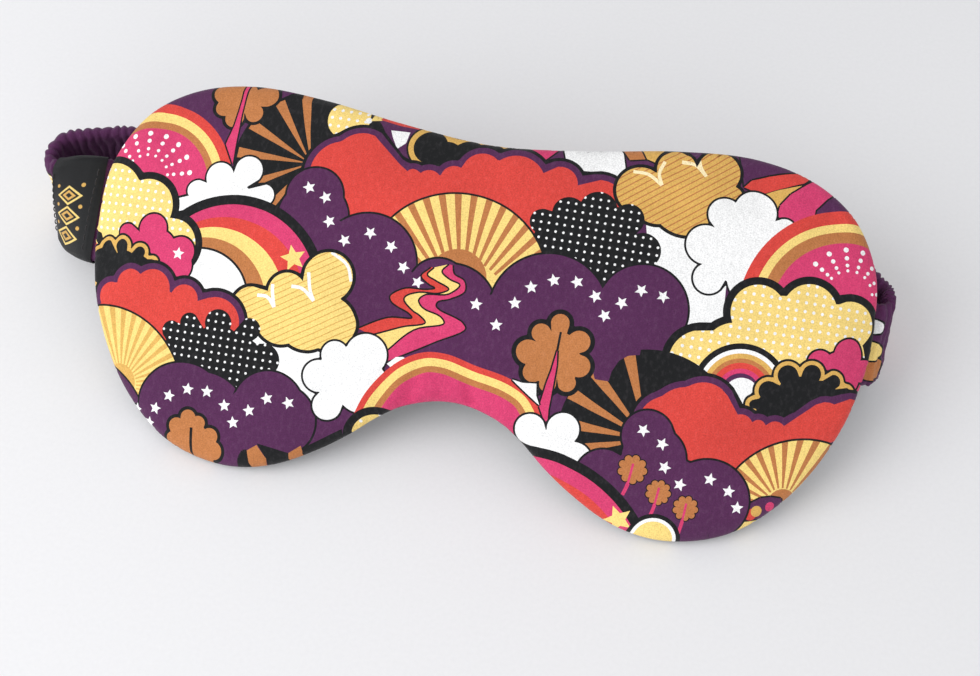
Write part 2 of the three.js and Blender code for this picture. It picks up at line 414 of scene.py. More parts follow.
def printed_velour(name, sheen=0.1, depth=1.0):
    """Short-pile velour, printed: the ink comes from the mesh, and the nap lightens and darkens it."""
    n = Nodes(name)
    flat = n.flat()
    ink = n.add("Attribute", attribute_name="ink").outputs["Color"]
    pile = n.noise(flat, 2600.0, 3.0, 0.6)
    nap = n.noise(n.scaled(flat, (1.0, 0.6, 1.0)), 900.0, 3.0, 0.6)
    brushed = n.noise(flat, 45.0, 2.0, 0.5)
    knit = n.bands(flat, 900.0, "X", 1.2)
    light = n.math("MULTIPLY", n.range(pile, 0.80, 1.20, 0.3, 0.7), n.range(nap, 0.93, 1.07, 0.3, 0.7))
    light = n.math("MULTIPLY", light, n.range(brushed, 0.93, 1.07, 0.3, 0.7))
    worn = n.mix(n.range(nap, 0.0, 0.03, 0.5, 0.75), ink, linear((190, 180, 186)))
    colour = n.shade(worn, light)
    fine = n.bump(pile, 0.5 * depth, 0.00022)
    normal = n.bump(n.math("ADD", nap, n.range(knit, 0.0, 0.25)), 0.35 * depth, 0.0003, fine)
    return n.finish(colour, n.range(pile, 0.78, 0.96), normal, Sheen_Weight=sheen, Sheen_Roughness=0.45,
                    Specular_IOR_Level=0.25)


def dark_lining():
    """Close-knit black lining: fine wales and courses with a soft lustre."""
    n = Nodes("lining_knit")
    flat = n.flat()
    wales = n.bands(flat, 430.0, "X", 0.6)
    courses = n.bands(flat, 520.0, "Y", 0.6)
    weave = n.math("MULTIPLY", wales, courses)
    cloud = n.noise(flat, 60.0, 3.0, 0.6)
    tone = n.math("MULTIPLY", weave, n.range(cloud, 0.6, 1.0))
    colour = n.mix(tone, linear((13, 13, 15)), linear((44, 42, 48)))
    normal = n.bump(weave, 0.5, 0.00025, n.bump(cloud, 0.3, 0.0008))
    return n.finish(colour, n.range(weave, 0.72, 0.5), normal, Sheen_Weight=0.25, Sheen_Roughness=0.4,
                    Specular_IOR_Level=0.35)


def white_wadding():
    """Bonded polyester fibre, faintly uneven in tone."""
    n = Nodes("wadding_foam")
    flat = n.flat()
    cells = n.noise(flat, 900.0, 3.0, 0.6)
    tint = n.noise(flat, 30.0, 2.0, 0.5)
    colour = n.mix(tint, linear((226, 222, 212)), linear((240, 237, 229)))
    return n.finish(n.shade(colour, n.range(cells, 0.86, 1.06, 0.3, 0.7)), n.range(cells, 0.85, 1.0),
                    n.bump(cells, 0.6, 0.0005), Specular_IOR_Level=0.2)


def ribbed_elastic():
    """Woven elastic: lengthwise ribs crossed by the rubber's fine rows."""
    n = Nodes("elastic_rib")
    flat = n.flat()
    ribs = n.bands(flat, 260.0, "Y")
    rows = n.bands(flat, 420.0, "X", 0.8)
    mix = n.math("MULTIPLY", ribs, n.range(rows, 0.7, 1.0))
    colour = n.mix(mix, linear((196, 194, 188)), linear((240, 239, 234)))
    return n.finish(colour, n.range(rows, 0.9, 0.7), n.bump(mix, 0.6, 0.0003), Sheen_Weight=0.1,
                    Sheen_Roughness=0.5)


def label_satin():
    """Damask-woven label, its ground and its gold figure both from the mesh's ink."""
    n = Nodes("label_damask")
    flat = n.flat()
    ink = n.add("Attribute", attribute_name="ink").outputs["Color"]
    floats = n.bands(flat, 1100.0, "Y", 0.5)
    picks = n.bands(flat, 1500.0, "X", 0.8)
    dust = n.noise(flat, 1400.0, 2.0, 0.6)
    weave = n.math("MULTIPLY", floats, picks)
    light = n.math("MULTIPLY", n.range(weave, 0.78, 1.22), n.range(dust, 0.85, 1.15, 0.3, 0.7))
    return n.finish(n.shade(ink, light), n.range(weave, 0.66, 0.5), n.bump(weave, 0.45, 0.00012),
                    Specular_IOR_Level=0.25, Sheen_Weight=0.04, Sheen_Roughness=0.4)


def sewing_thread(name, dark, bright):
    """Spun polyester: twisted plies across the thread."""
    n = Nodes(name)
    position = n.add("TexCoord").outputs["Object"]
    ply = n.bands(n.scaled(position, (1.0, 1.0, 1.0), 0.7), 1500.0, "DIAGONAL", 1.0)
    lint = n.noise(position, 3000.0, 2.0, 0.6)
    colour = n.mix(n.math("MULTIPLY", ply, n.range(lint, 0.5, 1.0)), linear(dark), linear(bright))
    return n.finish(colour, n.range(lint, 0.55, 0.8), n.bump(ply, 0.5, 0.00008), Specular_IOR_Level=0.4)


# ---------------------------------------------------------------- printing: shapes painted in order

LONGEST_SIDE = 1.8
SMALL_CLOUD = 7.5
CLOUD_SIDES = 240
SMALL_CLOUD_SIDES = 150
STAR_SIZE = 1.75
HAIR, THIN, LINE, THICK = 0.45, 0.55, 0.9, 2.0


def sideways(curve):
    """Unit vectors to the left of a flat curve."""
    ahead = np.gradient(curve, axis=0)
    ahead /= np.linalg.norm(ahead, axis=1, keepdims=True)
    return np.stack([-ahead[:, 1], ahead[:, 0]], axis=1)


def middle_and_reach(outline):
    """The middle of an outline's box, and the distance from it to a corner."""
    low, high = outline.min(0), outline.max(0)
    return (low + high) / 2, np.linalg.norm(high - low) / 2


class Design:
    """Shapes in flat millimetres, painted one over another. A shape with a ground shows only there."""

    def __init__(self):
        self.shapes = []

    def paint(self, points, ink, ground=None):
        """Adds a shape. Its corners are turned anticlockwise and its long sides divided, so that
        the cloth can curve under them."""
        points = np.array(points, float)
        after = np.roll(points, -1, axis=0)
        if np.sum(points[:, 0] * after[:, 1] - points[:, 1] * after[:, 0]) < 0:
            points = points[::-1]
            after = np.roll(points, -1, axis=0)
        divided = []
        for a, b in zip(points, after):
            pieces = max(1, math.ceil(np.hypot(*(b - a)) / LONGEST_SIDE))
            divided.extend(a + (b - a) * k / pieces for k in range(pieces))
        self.shapes.append((np.array(divided), ink, ground))
        return len(self.shapes) - 1

    def disc(self, x, y, r, ink, ground=None):
        sides = int(max(9, min(110, 2 * math.pi * r / (0.55 + 0.045 * r))))
        turn = 2 * math.pi * np.arange(sides) / sides
        return self.paint(np.stack([x + r * np.cos(turn), y + r * np.sin(turn)], axis=1), ink, ground)

    def rainbow(self, x, y, bands):
        """Nested discs, widest first. Returns the innermost one."""
        for r, ink in bands:
            last = self.disc(x, y, r, ink)
        return last

    def cloud(self, middle, core, lobes, ink, edges=()):
        """The outline of all lobes together, seen from its middle, inside its edging bands."""
        sides = SMALL_CLOUD_SIDES if core < SMALL_CLOUD else CLOUD_SIDES
        for grow, colour in [*edges, (0, ink)]:
            discs = [(middle[0], middle[1], core + grow)] + [(x, y, r + grow) for x, y, r in lobes]
            turn = np.linspace(0, 2 * math.pi, sides, endpoint=False)
            reach = np.zeros(len(turn))
            for x, y, r in discs:
                dx, dy = x - middle[0], y - middle[1]
                along = dx * np.cos(turn) + dy * np.sin(turn)
                inside = along ** 2 - dx * dx - dy * dy + r * r
                reach = np.maximum(reach, np.where(inside > 0, along + np.sqrt(np.maximum(inside, 0)), 0))
            last = self.paint(np.stack([middle[0] + reach * np.cos(turn),
                                        middle[1] + reach * np.sin(turn)], axis=1), colour)
        return last

    def star(self, x, y, r, ink=WHITE, turn=0.0):
        tips = np.arange(10)
        reach = np.where(tips % 2, 0.46 * r, r)
        angle = math.radians(90 + turn) + math.pi * tips / 5
        self.paint(np.stack([x + reach * np.cos(angle), y + reach * np.sin(angle)], axis=1), ink)

    def stars(self, places):
        for x, y in places:
            self.star(x, y, STAR_SIZE, turn=x)

    def rays(self, x, y, near, far, angles, spread, ink, ground):
        """Wedges that widen away from a point."""
        for degrees in angles:
            a, b = math.radians(degrees - spread / 2), math.radians(degrees + spread / 2)
            self.paint([(x + near * math.cos(a), y + near * math.sin(a)),
                        (x + far * math.cos(a), y + far * math.sin(a)),
                        (x + far * math.cos(b), y + far * math.sin(b)),
                        (x + near * math.cos(b), y + near * math.sin(b))], ink, ground)

    def spots(self, ground, pitch, r):
        """Rows of white dots over the shape they lie on."""
        outline = self.shapes[ground][0]
        middle, reach = middle_and_reach(outline)
        steps = np.arange(-math.ceil(reach / pitch), math.ceil(reach / pitch) + 1) * pitch
        for i in steps:
            for j in steps:
                spot = middle + np.array([i, j])
                if within(outline, spot[None])[0]:
                    self.disc(spot[0], spot[1], r, WHITE, ground)

    def stripes(self, ground, pitch, width, ink, turn):
        """Parallel stripes over the shape they lie on."""
        middle, reach = middle_and_reach(self.shapes[ground][0])
        a = np.array([math.cos(math.radians(turn)), math.sin(math.radians(turn))])
        b = np.array([-a[1], a[0]])
        for k in range(-int(reach / pitch), int(reach / pitch) + 1):
            base = middle + b * k * pitch
            self.paint([base - a * reach, base + a * reach, base + a * reach + b * width,
                        base - a * reach + b * width], ink, ground)

    def fan(self, rim, hub, focus, lengths, angles, spread, ink):
        """A yellow disc with rays from a focus, a hub over them and a thin edge. A disc is x, y, r."""
        x, y, r = rim
        self.disc(x, y, r + THIN, BLACK)
        ground = self.disc(x, y, r, YELLOW)
        self.rays(*focus, *lengths, angles, spread, ink, ground)
        self.disc(*hub, ink, ground)

    def dot_fan(self, x, y, rings, angles, ground):
        """Rings of dots that grow outwards."""
        for reach, r, count in rings:
            for degrees in np.linspace(angles[0], angles[1], count):
                turn = math.radians(degrees)
                self.disc(x + reach * math.cos(turn), y + reach * math.sin(turn), r, WHITE, ground)

    def strip(self, one, two, ink, ground=None):
        """The band between two curves of matching points."""
        for i in range(len(one) - 1):
            for corners in ((one[i], one[i + 1], two[i + 1]), (one[i], two[i + 1], two[i])):
                (ax, ay), (bx, by) = corners[1] - corners[0], corners[2] - corners[0]
                if abs(ax * by - ay * bx) > 0.01:
                    self.paint(corners, ink, ground)

    def line(self, path, width, ink=BLACK, ground=None):
        """A stroke of even width along a smooth path."""
        length = np.linalg.norm(np.diff(path, axis=0), axis=1).sum()
        curve = catmull_rom(path, np.linspace(0, 1, 2 + int(length / 0.9)))
        side = sideways(curve) * width / 2
        self.strip(curve + side, curve - side, ink, ground)

    def bird(self, ground, ink, *strokes):
        """A flying bird drawn in a few strokes."""
        for path in strokes:
            self.line(path, LINE, ink, ground)

    def edged(self, points, ink):
        """A straight-sided shape inside a hairline."""
        for a, b in zip(points, [*points[1:], points[0]]):
            self.line([a, b], 2 * HAIR)
        self.paint(points, ink)

    def ribbon(self, curves, inks):
        """Bands between neighbouring curves, each curve drawn over them as a thin line."""
        steps = np.linspace(0, 1, 64)
        smooth = [catmull_rom(curve, steps) for curve in curves]
        for one, two, ink in zip(smooth, smooth[1:], inks):
            self.strip(one, two, ink)
        for curve in smooth:
            side = sideways(curve) * HAIR / 2
            self.strip(curve + side, curve - side, BLACK)

    def under_curve(self, path, depth, inks, floor):
        """Bands that follow a curve, each a depth below the one before, down to the floor."""
        curve = catmull_rom(path, np.linspace(0, 1, 70))
        for shift, ink in zip(depth, inks):
            band = curve - sideways(curve) * shift
            self.paint([*band, (band[-1][0], floor), (band[0][0], floor)], ink)

    def tree(self, x, y, r, leaf, count, edge):
        """A round leafy crown of equal lobes."""
        lobes = []
        for k in range(count):
            turn = math.radians(360 * k / count)
            lobes.append((x + 0.76 * r * math.cos(turn), y + 0.76 * r * math.sin(turn), leaf))
        self.cloud((x, y), 0.6 * r, lobes, TAN, [(edge, BLACK)])


def within(outline, points):
    """Which points lie inside a closed outline."""
    inside = np.zeros(len(points), bool)
    x, y = points[:, 0], points[:, 1]
    for (x0, y0), (x1, y1) in zip(outline, np.roll(outline, -1, axis=0)):
        if y0 != y1:
            inside ^= ((y0 > y) != (y1 > y)) & (x < (x1 - x0) * (y - y0) / (y1 - y0) + x0)
    return inside


def print_mesh(outline, fill_points, design):
    """Triangles that follow every printed edge: flat points, triangles, and an ink for each."""
    low, high = outline.min(0) - 2, outline.max(0) + 2
    points, faces, owners = [*outline], [list(range(len(outline)))], [None]
    for number, (shape, _, _) in enumerate(design.shapes):
        if (shape.max(0) < low).any() or (shape.min(0) > high).any():
            continue
        faces.append(list(range(len(points), len(points) + len(shape))))
        owners.append(number)
        points.extend(shape)
    points.extend(fill_points)
    made = delaunay_2d_cdt([Vector(p) for p in points], [], faces, 0, 1e-4)
    flat, triangles, sources = np.array([tuple(p) for p in made[0]]), made[2], made[5]
    kept, inks = [], []
    for triangle, source in zip(triangles, sources):
        if 0 not in source:
            continue
        top, ink = None, PURPLE
        for number in sorted(owners[s] for s in source if s):
            _, colour, ground = design.shapes[number]
            if ground is None:
                top, ink = number, colour
            elif ground == top:
                ink = colour
        kept.append(triangle)
        inks.append(ink)
    used = sorted({i for t in kept for i in t})
    place = {old: new for new, old in enumerate(used)}
    return flat[used], [[place[i] for i in t] for t in kept], inks


def colour_faces(obj, inks):
    """Stores each face's ink on the mesh."""
    layer = obj.data.color_attributes.new("ink", "FLOAT_COLOR", "CORNER")
    colours = np.array(INKS, np.float32)[np.asarray(inks)]
    sizes = np.array([p.loop_total for p in obj.data.polygons])
    layer.data.foreach_set("color", np.repeat(colours, sizes, axis=0).ravel())


# ---------------------------------------------------------------- the print on the mask
# The places, sizes and outlines of these motifs follow the photographed fabric. They were read off it,
# and a scratch program converted them to flat millimetres. For a generic print, replace the paint
# functions: nothing else depends on them.

PALE_SPOTS = (2.3, 0.45)
DARK_SPOTS = (2.05, 0.35)
GOLD_EDGE = [(1.6, BLACK), (1.0, OCHRE)]
PLUM_EDGE = [(2.5, BLACK), (1.6, PURPLE)]
HILL_EDGE = [(THIN, BLACK)]


def paint_upper_left(d):
    pink = d.rainbow(-93.6, 13.4, [(24.4, RED), (21.8, YELLOW), (19.3, TAN), (17.4, PINK)])
    d.dot_fan(-95.1, 16.4, [(12.7, 0.75, 7), (10.5, 0.62, 7), (8.2, 0.5, 7), (6.5, 0.42, 7)], (14, 140), pink)
    burst = d.disc(-49.3, 26.3, 21.4, BLACK)
    d.rays(-49.3, 26.3, 2, 20.6, (107, 128, 155, 179, 207, 236), 8, TAN, burst)
    d.spots(d.disc(-41.9, 40.1, 5.7, YELLOW), *PALE_SPOTS)
    d.disc(-36.6, 40.6, 0.9, WHITE)
    d.paint([(-36, 40.6), (-35.5, 44), (-33, 44), (-33.2, 41.2)], YELLOW)
    d.paint([(-33.6, 41.4), (-34, 44), (-18, 43), (-19, 40), (-27.7, 40.4)], RED)
    d.cloud((-72.5, 42), 4.5, [(-78.2, 42.8, 2.8), (-77.1, 38.8, 2.4), (-73.4, 36.3, 2.7), (-68, 38.1, 2.5),
                               (-65.8, 43.4, 3.1), (-75, 46, 3)], TAN, [(LINE, BLACK)])
    d.edged([(-72.6, 45.5), (-71.7, 45.7), (-71.6, 37.4), (-71, 29.3), (-70.7, 23.2), (-73.8, 28.4),
             (-72.9, 34.3), (-72.5, 42)], PINK)
    d.cloud((-70, 14.5), 5, [(-82.6, 10.6, 2.1), (-79.2, 14.9, 2.8), (-73.5, 19.3, 3.9), (-65.8, 22, 3.9),
                             (-60.4, 16, 2.9), (-70, 11, 8)], WHITE, [(THIN, BLACK)])


def paint_top_middle(d):
    d.paint([(-30, 38.8), (-24.9, 39), (-25.3, 35.8), (-27.3, 33.8), (-29.1, 36.9)], WHITE)
    d.cloud((-14, 33), 5, [(-18.5, 35.6, 4.6), (-8, 34, 5), (-2, 34.5, 4.5)], BLACK,
            [(1.9, BLACK), (1.4, OCHRE)])
    d.edged([(4.2, 38.4), (11.6, 36.5), (15.8, 41), (16, 44), (4, 43)], PINK)
    d.edged([(16.4, 40.4), (16.6, 46), (31, 46), (33, 38), (33, 36), (24, 31), (18, 36)], WHITE)
    d.edged([(31, 43.8), (30.6, 48), (36.6, 48), (36.6, 44.3), (38.3, 41.2), (33.9, 40.3)], TAN)
    d.edged([(36.6, 44.3), (37, 48), (43, 46), (41.8, 40.2), (38.3, 41.2)], OCHRE)
    lobes = [(-36.1, 29.6, 7.3), (-40.5, 25, 8.7), (-26.8, 25.9, 3.9), (-21.7, 27.2, 1.8), (-17.2, 26.1, 3.3),
             (-10.9, 28.1, 3.5), (-3.9, 30.8, 5.4), (5.4, 29.2, 7.8), (16.7, 30.9, 4.8), (27.6, 26.9, 6.7),
             (-30, 20, 9), (-20, 20, 6), (-10, 14, 9), (5, 22, 8), (12, 16, 9), (16, 22, 8)]
    d.cloud((-8, 12), 10, lobes, RED, PLUM_EDGE)


def paint_top_right(d):
    d.paint([(40, 26), (60, 18), (63, 14), (64, -2), (50, -4), (44, 8)], WHITE)
    d.edged([(64.3, 37.6), (62.5, 46), (84, 46), (82.6, 43.6), (80.1, 41.4), (69.1, 36.6)], PURPLE)
    d.edged([(64.3, 37.6), (66.2, 39.8), (70.8, 41.8), (78.2, 43.8), (82.6, 43.6), (80.1, 41.4), (73.9, 38.9),
             (69.1, 36.6)], RED)
    d.paint([(69.1, 36.4), (73.9, 38.7), (80.2, 40.9), (76.8, 38), (74.5, 34.9), (73.7, 30.6),
             (71.8, 34.4)], OCHRE)
    d.edged([(83.7, 33.4), (85.2, 36.8), (89.6, 40.4), (92, 41.5), (96.2, 37.1), (97.5, 35.4), (90.9, 35.1),
             (85.6, 33.8)], PURPLE)
    d.edged([(73.7, 30.6), (74.3, 34.3), (76.8, 37.8), (80.7, 41), (84.4, 43.5), (91, 42), (89.6, 40.6),
             (86.6, 38.1), (83.8, 34.8), (83.7, 33.2), (78.9, 30.4), (75.9, 30.7)], PINK)
    stripe = d.cloud((49, 33), 8, [(37.9, 32.3, 6.4), (46.5, 39.4, 5.3), (57.2, 40.5, 5.7), (61.2, 34.2, 3.2),
                                   (50, 31.5, 9.3), (42.5, 31, 7)], OCHRE, [(LINE, BLACK)])
    d.stripes(stripe, 1.45, 0.3, TAN, 38)
    d.bird(stripe, CREAM, [(35.2, 37.2), (39.2, 37), (43.1, 34.6)], [(43.1, 34.6), (42, 37.8), (43.1, 41.3)])
    d.bird(stripe, CREAM, [(47.5, 42), (51.3, 41.8), (54.2, 38.9)],
           [(54.2, 38.9), (52.6, 41.4), (51.7, 44.2)])
    d.cloud((65, 20), 8, [(60.3, 29.4, 4.3), (68, 31.3, 5.6), (76.2, 27.6, 3.3), (56.5, 20.7, 5.1),
                          (58.5, 12.2, 4), (70, 24, 6), (70, 14, 7)], WHITE, [(THIN, BLACK)])
    pink = d.rainbow(95.3, 7.5, [(28.5, RED), (25.2, YELLOW), (23, TAN), (20, PINK)])
    d.dot_fan(95.4, 13.9, [(11.9, 0.7, 7), (9.7, 0.6, 7), (7.8, 0.5, 7), (6.4, 0.42, 7)], (11.6, 146), pink)


def paint_middle(d):
    lobes = [(14.1, 20.1, 3.4), (20.4, 23.4, 4.3), (27.8, 25.3, 5), (35.9, 24.1, 4.1), (40.7, 16.5, 4.7),
             (20, 14, 8), (34, 14, 8)]
    spotted = d.cloud((28, 15), 9.5, lobes, BLACK)
    d.spots(spotted, *DARK_SPOTS)
    d.fan((-5.9, 0.1, 24.1), (-5.4, 2, 7.6), (-3.6, -4.9), (12, 36), np.arange(9.1, 176, 8.3), 3.6, TAN)
    d.cloud((-46, 12), 9.5, [(-46.5, 17.8, 7.6), (-40, 0, 10)], PURPLE, HILL_EDGE)
    d.cloud((-29.6, 2.3), 13, [(-26, -8, 12)], PURPLE, HILL_EDGE)
    d.cloud((-6, -6.5), 11.9, [(-10, -1.5, 7.8), (-4, -14, 14)], PURPLE, HILL_EDGE)
    d.cloud((30, -8), 12, [(19.3, -3.3, 15.3), (43.1, 1.5, 11.5), (46, -10, 9), (14, -14, 12)], PURPLE,
            HILL_EDGE)
    d.paint([(0, -3), (4.7, -0.5), (9, -3), (14, -20), (0, -22), (-4, -16)], PURPLE)
    d.paint([(-25, -2), (-18.7, 2), (-14, 1), (-14, -20), (-28, -18)], PURPLE)
    d.paint([(-36.9, 11.3), (-39.5, 12.6), (-44.5, 8), (-45.5, 0), (-38, -2), (-34, 6)], PURPLE)
    d.stars([(-48.4, 19.8), (-43.5, 17.8), (-41.4, 11.6), (-36.5, 7.2), (-30, 10.2), (-24, 7.5), (-19.9, 2.6),
             (-15.5, -0.7), (0.5, -4), (6.5, -8.5), (10.4, -2.1), (13.9, 2.6), (19.4, 5.3), (25.4, 5.8),
             (30.6, 2.9), (37.5, 2.3), (42, 6.3), (47.7, 5.6), (33.7, -1.7)])


def paint_left(d):
    for x, y, r, ink in ((-65.2, -11.2, 26.4, BLACK), (-65.2, -11.2, 23.8, PINK), (-67, -14, 22.9, RED),
                         (-70, -14.5, 20.3, YELLOW), (-72.3, -14.8, 17.5, TAN)):
        d.disc(x, y, r, ink)
    d.rainbow(-73.5, -14, [(14, BLACK), (13.4, WHITE)])
    d.star(-49.4, 0.6, 3.6, YELLOW, 20)
    d.paint([(-57, -21), (-58, -42), (-40, -41), (-34, -37), (-34, -22)], WHITE)
    stripe = d.cloud((-45, -12), 7, [(-39.2, -3, 6.6), (-49.6, -8.6, 5.2), (-58.6, -13.6, 5.2),
                                     (-34.6, -14.8, 4.8), (-50, -15.5, 7), (-43, -15.3, 7.6), (-37, -15, 7)],
                     YELLOW, [(LINE, BLACK)])
    d.stripes(stripe, 1.5, 0.28, OCHRE, 32)
    d.bird(stripe, WHITE, [(-48.6, -6.8), (-45.6, -7), (-42, -9.7)],
           [(-42, -9.7), (-43.4, -7.2), (-44.6, -2.5)])
    d.bird(stripe, WHITE, [(-57.5, -10.5), (-54.7, -10.6), (-52.4, -13)],
           [(-52.4, -13), (-53.6, -8.8), (-53.8, -7)])
    d.line([(-39.4, 3.6), (-34.6, 0.8), (-32.9, -3.2)], 0.8, WHITE, stripe)
    spotted = d.cloud((-94, 5), 7, [(-104.8, 9.6, 9.9), (-93, 8.5, 7.7), (-83.7, -0.5, 6.9), (-99, 4, 9)],
                      YELLOW, [(THICK, BLACK)])
    d.spots(spotted, *PALE_SPOTS)
    d.cloud((-88, -3), 6, [(-97.2, 0.6, 2.7), (-89.9, 2.9, 4), (-80.8, -2.2, 4), (-81, -6, 4.2)], PINK,
            [(THIN, BLACK)])
    d.star(-81.3, -2.8, 1.8)
    d.cloud((-97, -9), 5, [(-103.6, -3.7, 1.9), (-98.5, -3.1, 2.1), (-92.6, -4, 1.6), (-88.5, -6.3, 1),
                           (-104, -9, 5), (-92, -8.5, 3.6)], BLACK, GOLD_EDGE)


def paint_lower_left(d):
    d.cloud((-84, -21), 8, [(-99.3, -16.8, 3.8), (-94, -12.7, 4), (-87.2, -13.1, 5.2), (-77.5, -14.7, 4),
                            (-67.9, -19.5, 6.8), (-96, -24, 8)], RED, PLUM_EDGE)
    spotted = d.cloud((-66, -28), 8, [(-79.7, -23.4, 2.7), (-74.9, -20.6, 2.7), (-66.9, -19.5, 3.7),
                                      (-58.1, -19.8, 3), (-53.1, -27.3, 4.4), (-76, -27, 5), (-60, -30, 8),
                                      (-68, -32, 7)], BLACK)
    d.spots(spotted, *DARK_SPOTS)
    d.fan((-98.6, -44.6, 24.9), (-93.5, -39.5, 5), (-93, -40), (5, 26), range(-35, 136, 10), 4.6, OCHRE)
    d.rainbow(-103.1, -54.5, [(19.7 + THIN, BLACK), (19.7, PURPLE)])
    d.cloud((-70, -47), 12, [(-73.8, -44.4, 13), (-68, -46.5, 13.5), (-88, -54, 9)], PURPLE, HILL_EDGE)
    d.cloud((-48, -43), 8, [(-50, -39.5, 9.6), (-46, -42, 9), (-52, -52, 9)], PURPLE, HILL_EDGE)
    d.paint([(-62, -50), (-61.5, -40), (-59.4, -36.8), (-57, -38.5), (-54, -47), (-50, -60),
             (-64, -60)], PURPLE)
    d.stars([(-87.8, -45.8), (-83.5, -48.9), (-81.5, -44.8), (-77.9, -40.8), (-72.8, -38.2), (-67.3, -38),
             (-62, -40.9), (-59, -45), (-55, -41.1), (-50.6, -37.2), (-44.7, -37.4)])
    d.edged([(-56.4, -54), (-55.5, -52.2), (-54.4, -51.9), (-52.8, -54), (-53, -60), (-57, -60)], BLACK)
    d.paint([(-54.4, -51.7), (-51.8, -49.8), (-49.2, -53.1), (-49.5, -60), (-53, -60)], TAN)
    d.paint([(-51.8, -49.4), (-43.3, -50.6), (-44, -60), (-49, -60), (-49.2, -53.1)], BLACK)
    d.paint([(-43.3, -50.6), (-40.2, -48.1), (-39.7, -50), (-41, -60), (-44, -60)], TAN)
    d.paint([(-39.7, -48.6), (-30, -42), (-28, -60), (-41, -60)], BLACK)
    d.cloud((-69.5, -51.5), 4.5, [(-74.6, -48.6, 2.4), (-71.7, -45.7, 2.1), (-68.7, -46.7, 1.9),
                                  (-65.1, -49.7, 2.2), (-75.5, -52.5, 2.4), (-64.1, -53.4, 2.6),
                                  (-70, -56, 6)], TAN, [(LINE, BLACK)])
    d.line([(-70.5, -48.2), (-70.2, -60)], 0.8)


def paint_nose(d):
    d.ribbon([[(-12.7, 3.7), (-14.9, 1.1), (-12.5, -0.8), (-10.8, -1.5), (-13.2, -2.2), (-18.6, -2.7),
               (-22.2, -5.3), (-21.7, -6.7), (-20.3, -7.6), (-16.6, -9.1), (-15.6, -10.1), (-21.8, -10.9),
               (-29.3, -15)],
              [(-11.8, 3.8), (-13.3, 1.7), (-10.7, 0.4), (-7.1, -1.2), (-9.6, -2.7), (-14.8, -3.2),
               (-18.1, -4.8), (-18.3, -5.9), (-15.7, -8.2), (-13.6, -9.2), (-11.9, -10.8), (-17.7, -12.8),
               (-25.5, -16.2)],
              [(-8.1, 5.2), (-9.6, 3.1), (-7.4, 1.4), (-4.4, 0.3), (-7, -2.5), (-13, -3.6), (-14.5, -5.2),
               (-13.8, -6.5), (-12.4, -7.4), (-8.2, -8.6), (-7, -10.2), (-14.4, -13), (-21.1, -19.8)],
              [(-7, 5.1), (-6.3, 3), (-3.4, 1.6), (-2.8, -1.2), (-6.5, -3.8), (-9.4, -4.9), (-9.7, -6),
               (-8.6, -6.9), (-4.1, -8.3), (-2.2, -9.2), (-1.2, -10.8), (-9.2, -15.8), (-20.6, -22.7)]],
             (RED, YELLOW, PINK))
    d.paint([(-20.4, -23), (-18.3, -20.9), (-16.4, -20.6), (-15, -21.2), (-19, -24)], WHITE)
    lobes = [(-26.1, -21.5, 5.4), (-34.2, -22.9, 3.6), (-37.7, -29, 4.2), (-34.5, -36.4, 3.8), (-26, -30, 7)]
    d.cloud((-30, -29), 6.5, lobes, WHITE, [(THIN, BLACK)])
    d.under_curve([(-28, -39.5), (-24.8, -31.3), (-19.1, -23.4), (-11.9, -18.7), (-5.3, -18), (2.8, -19.8),
                   (11.4, -21.5), (17.5, -24.2), (20.5, -27.4), (23.5, -33)], (0, 1.6, 3.7, 5.3),
                  (RED, YELLOW, TAN, PINK), -64)
    d.spots(d.cloud((-20.8, -43.6), 7, [], YELLOW, [(THICK, BLACK)]), *PALE_SPOTS)


def paint_right(d):
    d.spots(d.cloud((80, 0), 11, [(72.5, 5.5, 7.2), (85.7, 7.9, 7.2), (96.9, 5.9, 6.5), (60, -9.6, 8.4),
                                  (68, -6, 8), (96, -2, 7)], YELLOW, [(THICK, BLACK)]), *PALE_SPOTS)
    d.rainbow(71.1, -15.6, [(12.7, BLACK), (11.2, WHITE), (10.1, OCHRE), (8.8, TAN), (7.7, RED), (6.2, PINK),
                            (5, PURPLE)])
    d.disc(71.5, -16.3, 4.6, WHITE)
    d.cloud((96, -7), 6, [(90.3, -4.8, 3.3), (97.9, -1.4, 4.1), (103.4, -5, 3)], PINK, [(THIN, BLACK)])
    d.cloud((86, -15), 6, [(82.5, -9.3, 2.7), (88.6, -8, 2.5), (94.8, -9, 1.9), (78.2, -14, 2.6),
                           (98.5, -11.5, 1.6), (75, -18, 1.2), (92, -13.5, 4.4), (96, -14, 3),
                           (79, -18, 3.4)], BLACK, GOLD_EDGE)
    burst = d.disc(49.5, -31.4, 23.2, BLACK)
    d.rays(49.5, -31.4, 2, 23, (111, 137, 158, 178, 197), 8, TAN, burst)
    d.paint([(32, -8), (44.2, -8), (44.2, -10.2), (41.3, -10.9), (39.2, -12.5), (37.8, -15.5), (37.4, -18.2),
             (33.8, -18.2), (32, -14)], PURPLE, burst)
    lobes = [(62.5, -21.8, 7.4), (58.5, -25.3, 9), (54, -27, 7.6), (72.6, -24.1, 3.1), (77.1, -23.7, 2),
             (81.6, -24.3, 2.9), (88.1, -23.4, 4), (94.2, -19.8, 5.4), (100.6, -17.7, 5.1), (66, -32, 9),
             (88, -28, 6), (80, -30, 6)]
    d.cloud((77, -31), 7, lobes, RED, PLUM_EDGE)
    d.fan((93, -48.1, 23.3), (87.1, -42.5, 4.2), (87, -43.1), (5, 32), range(7, 180, 13), 5.5, TAN)
    d.edged([(78.2, -43.6), (80.9, -41.6), (83.5, -40.9), (86.5, -40.9), (90, -45), (78, -48)], PURPLE)
    for x, y, r, ink in ((79.3, -46.3, 1.6, RED), (80.6, -45.2, 1.5, OCHRE), (84, -43.5, 1.3, PINK)):
        d.disc(x, y, r, ink)


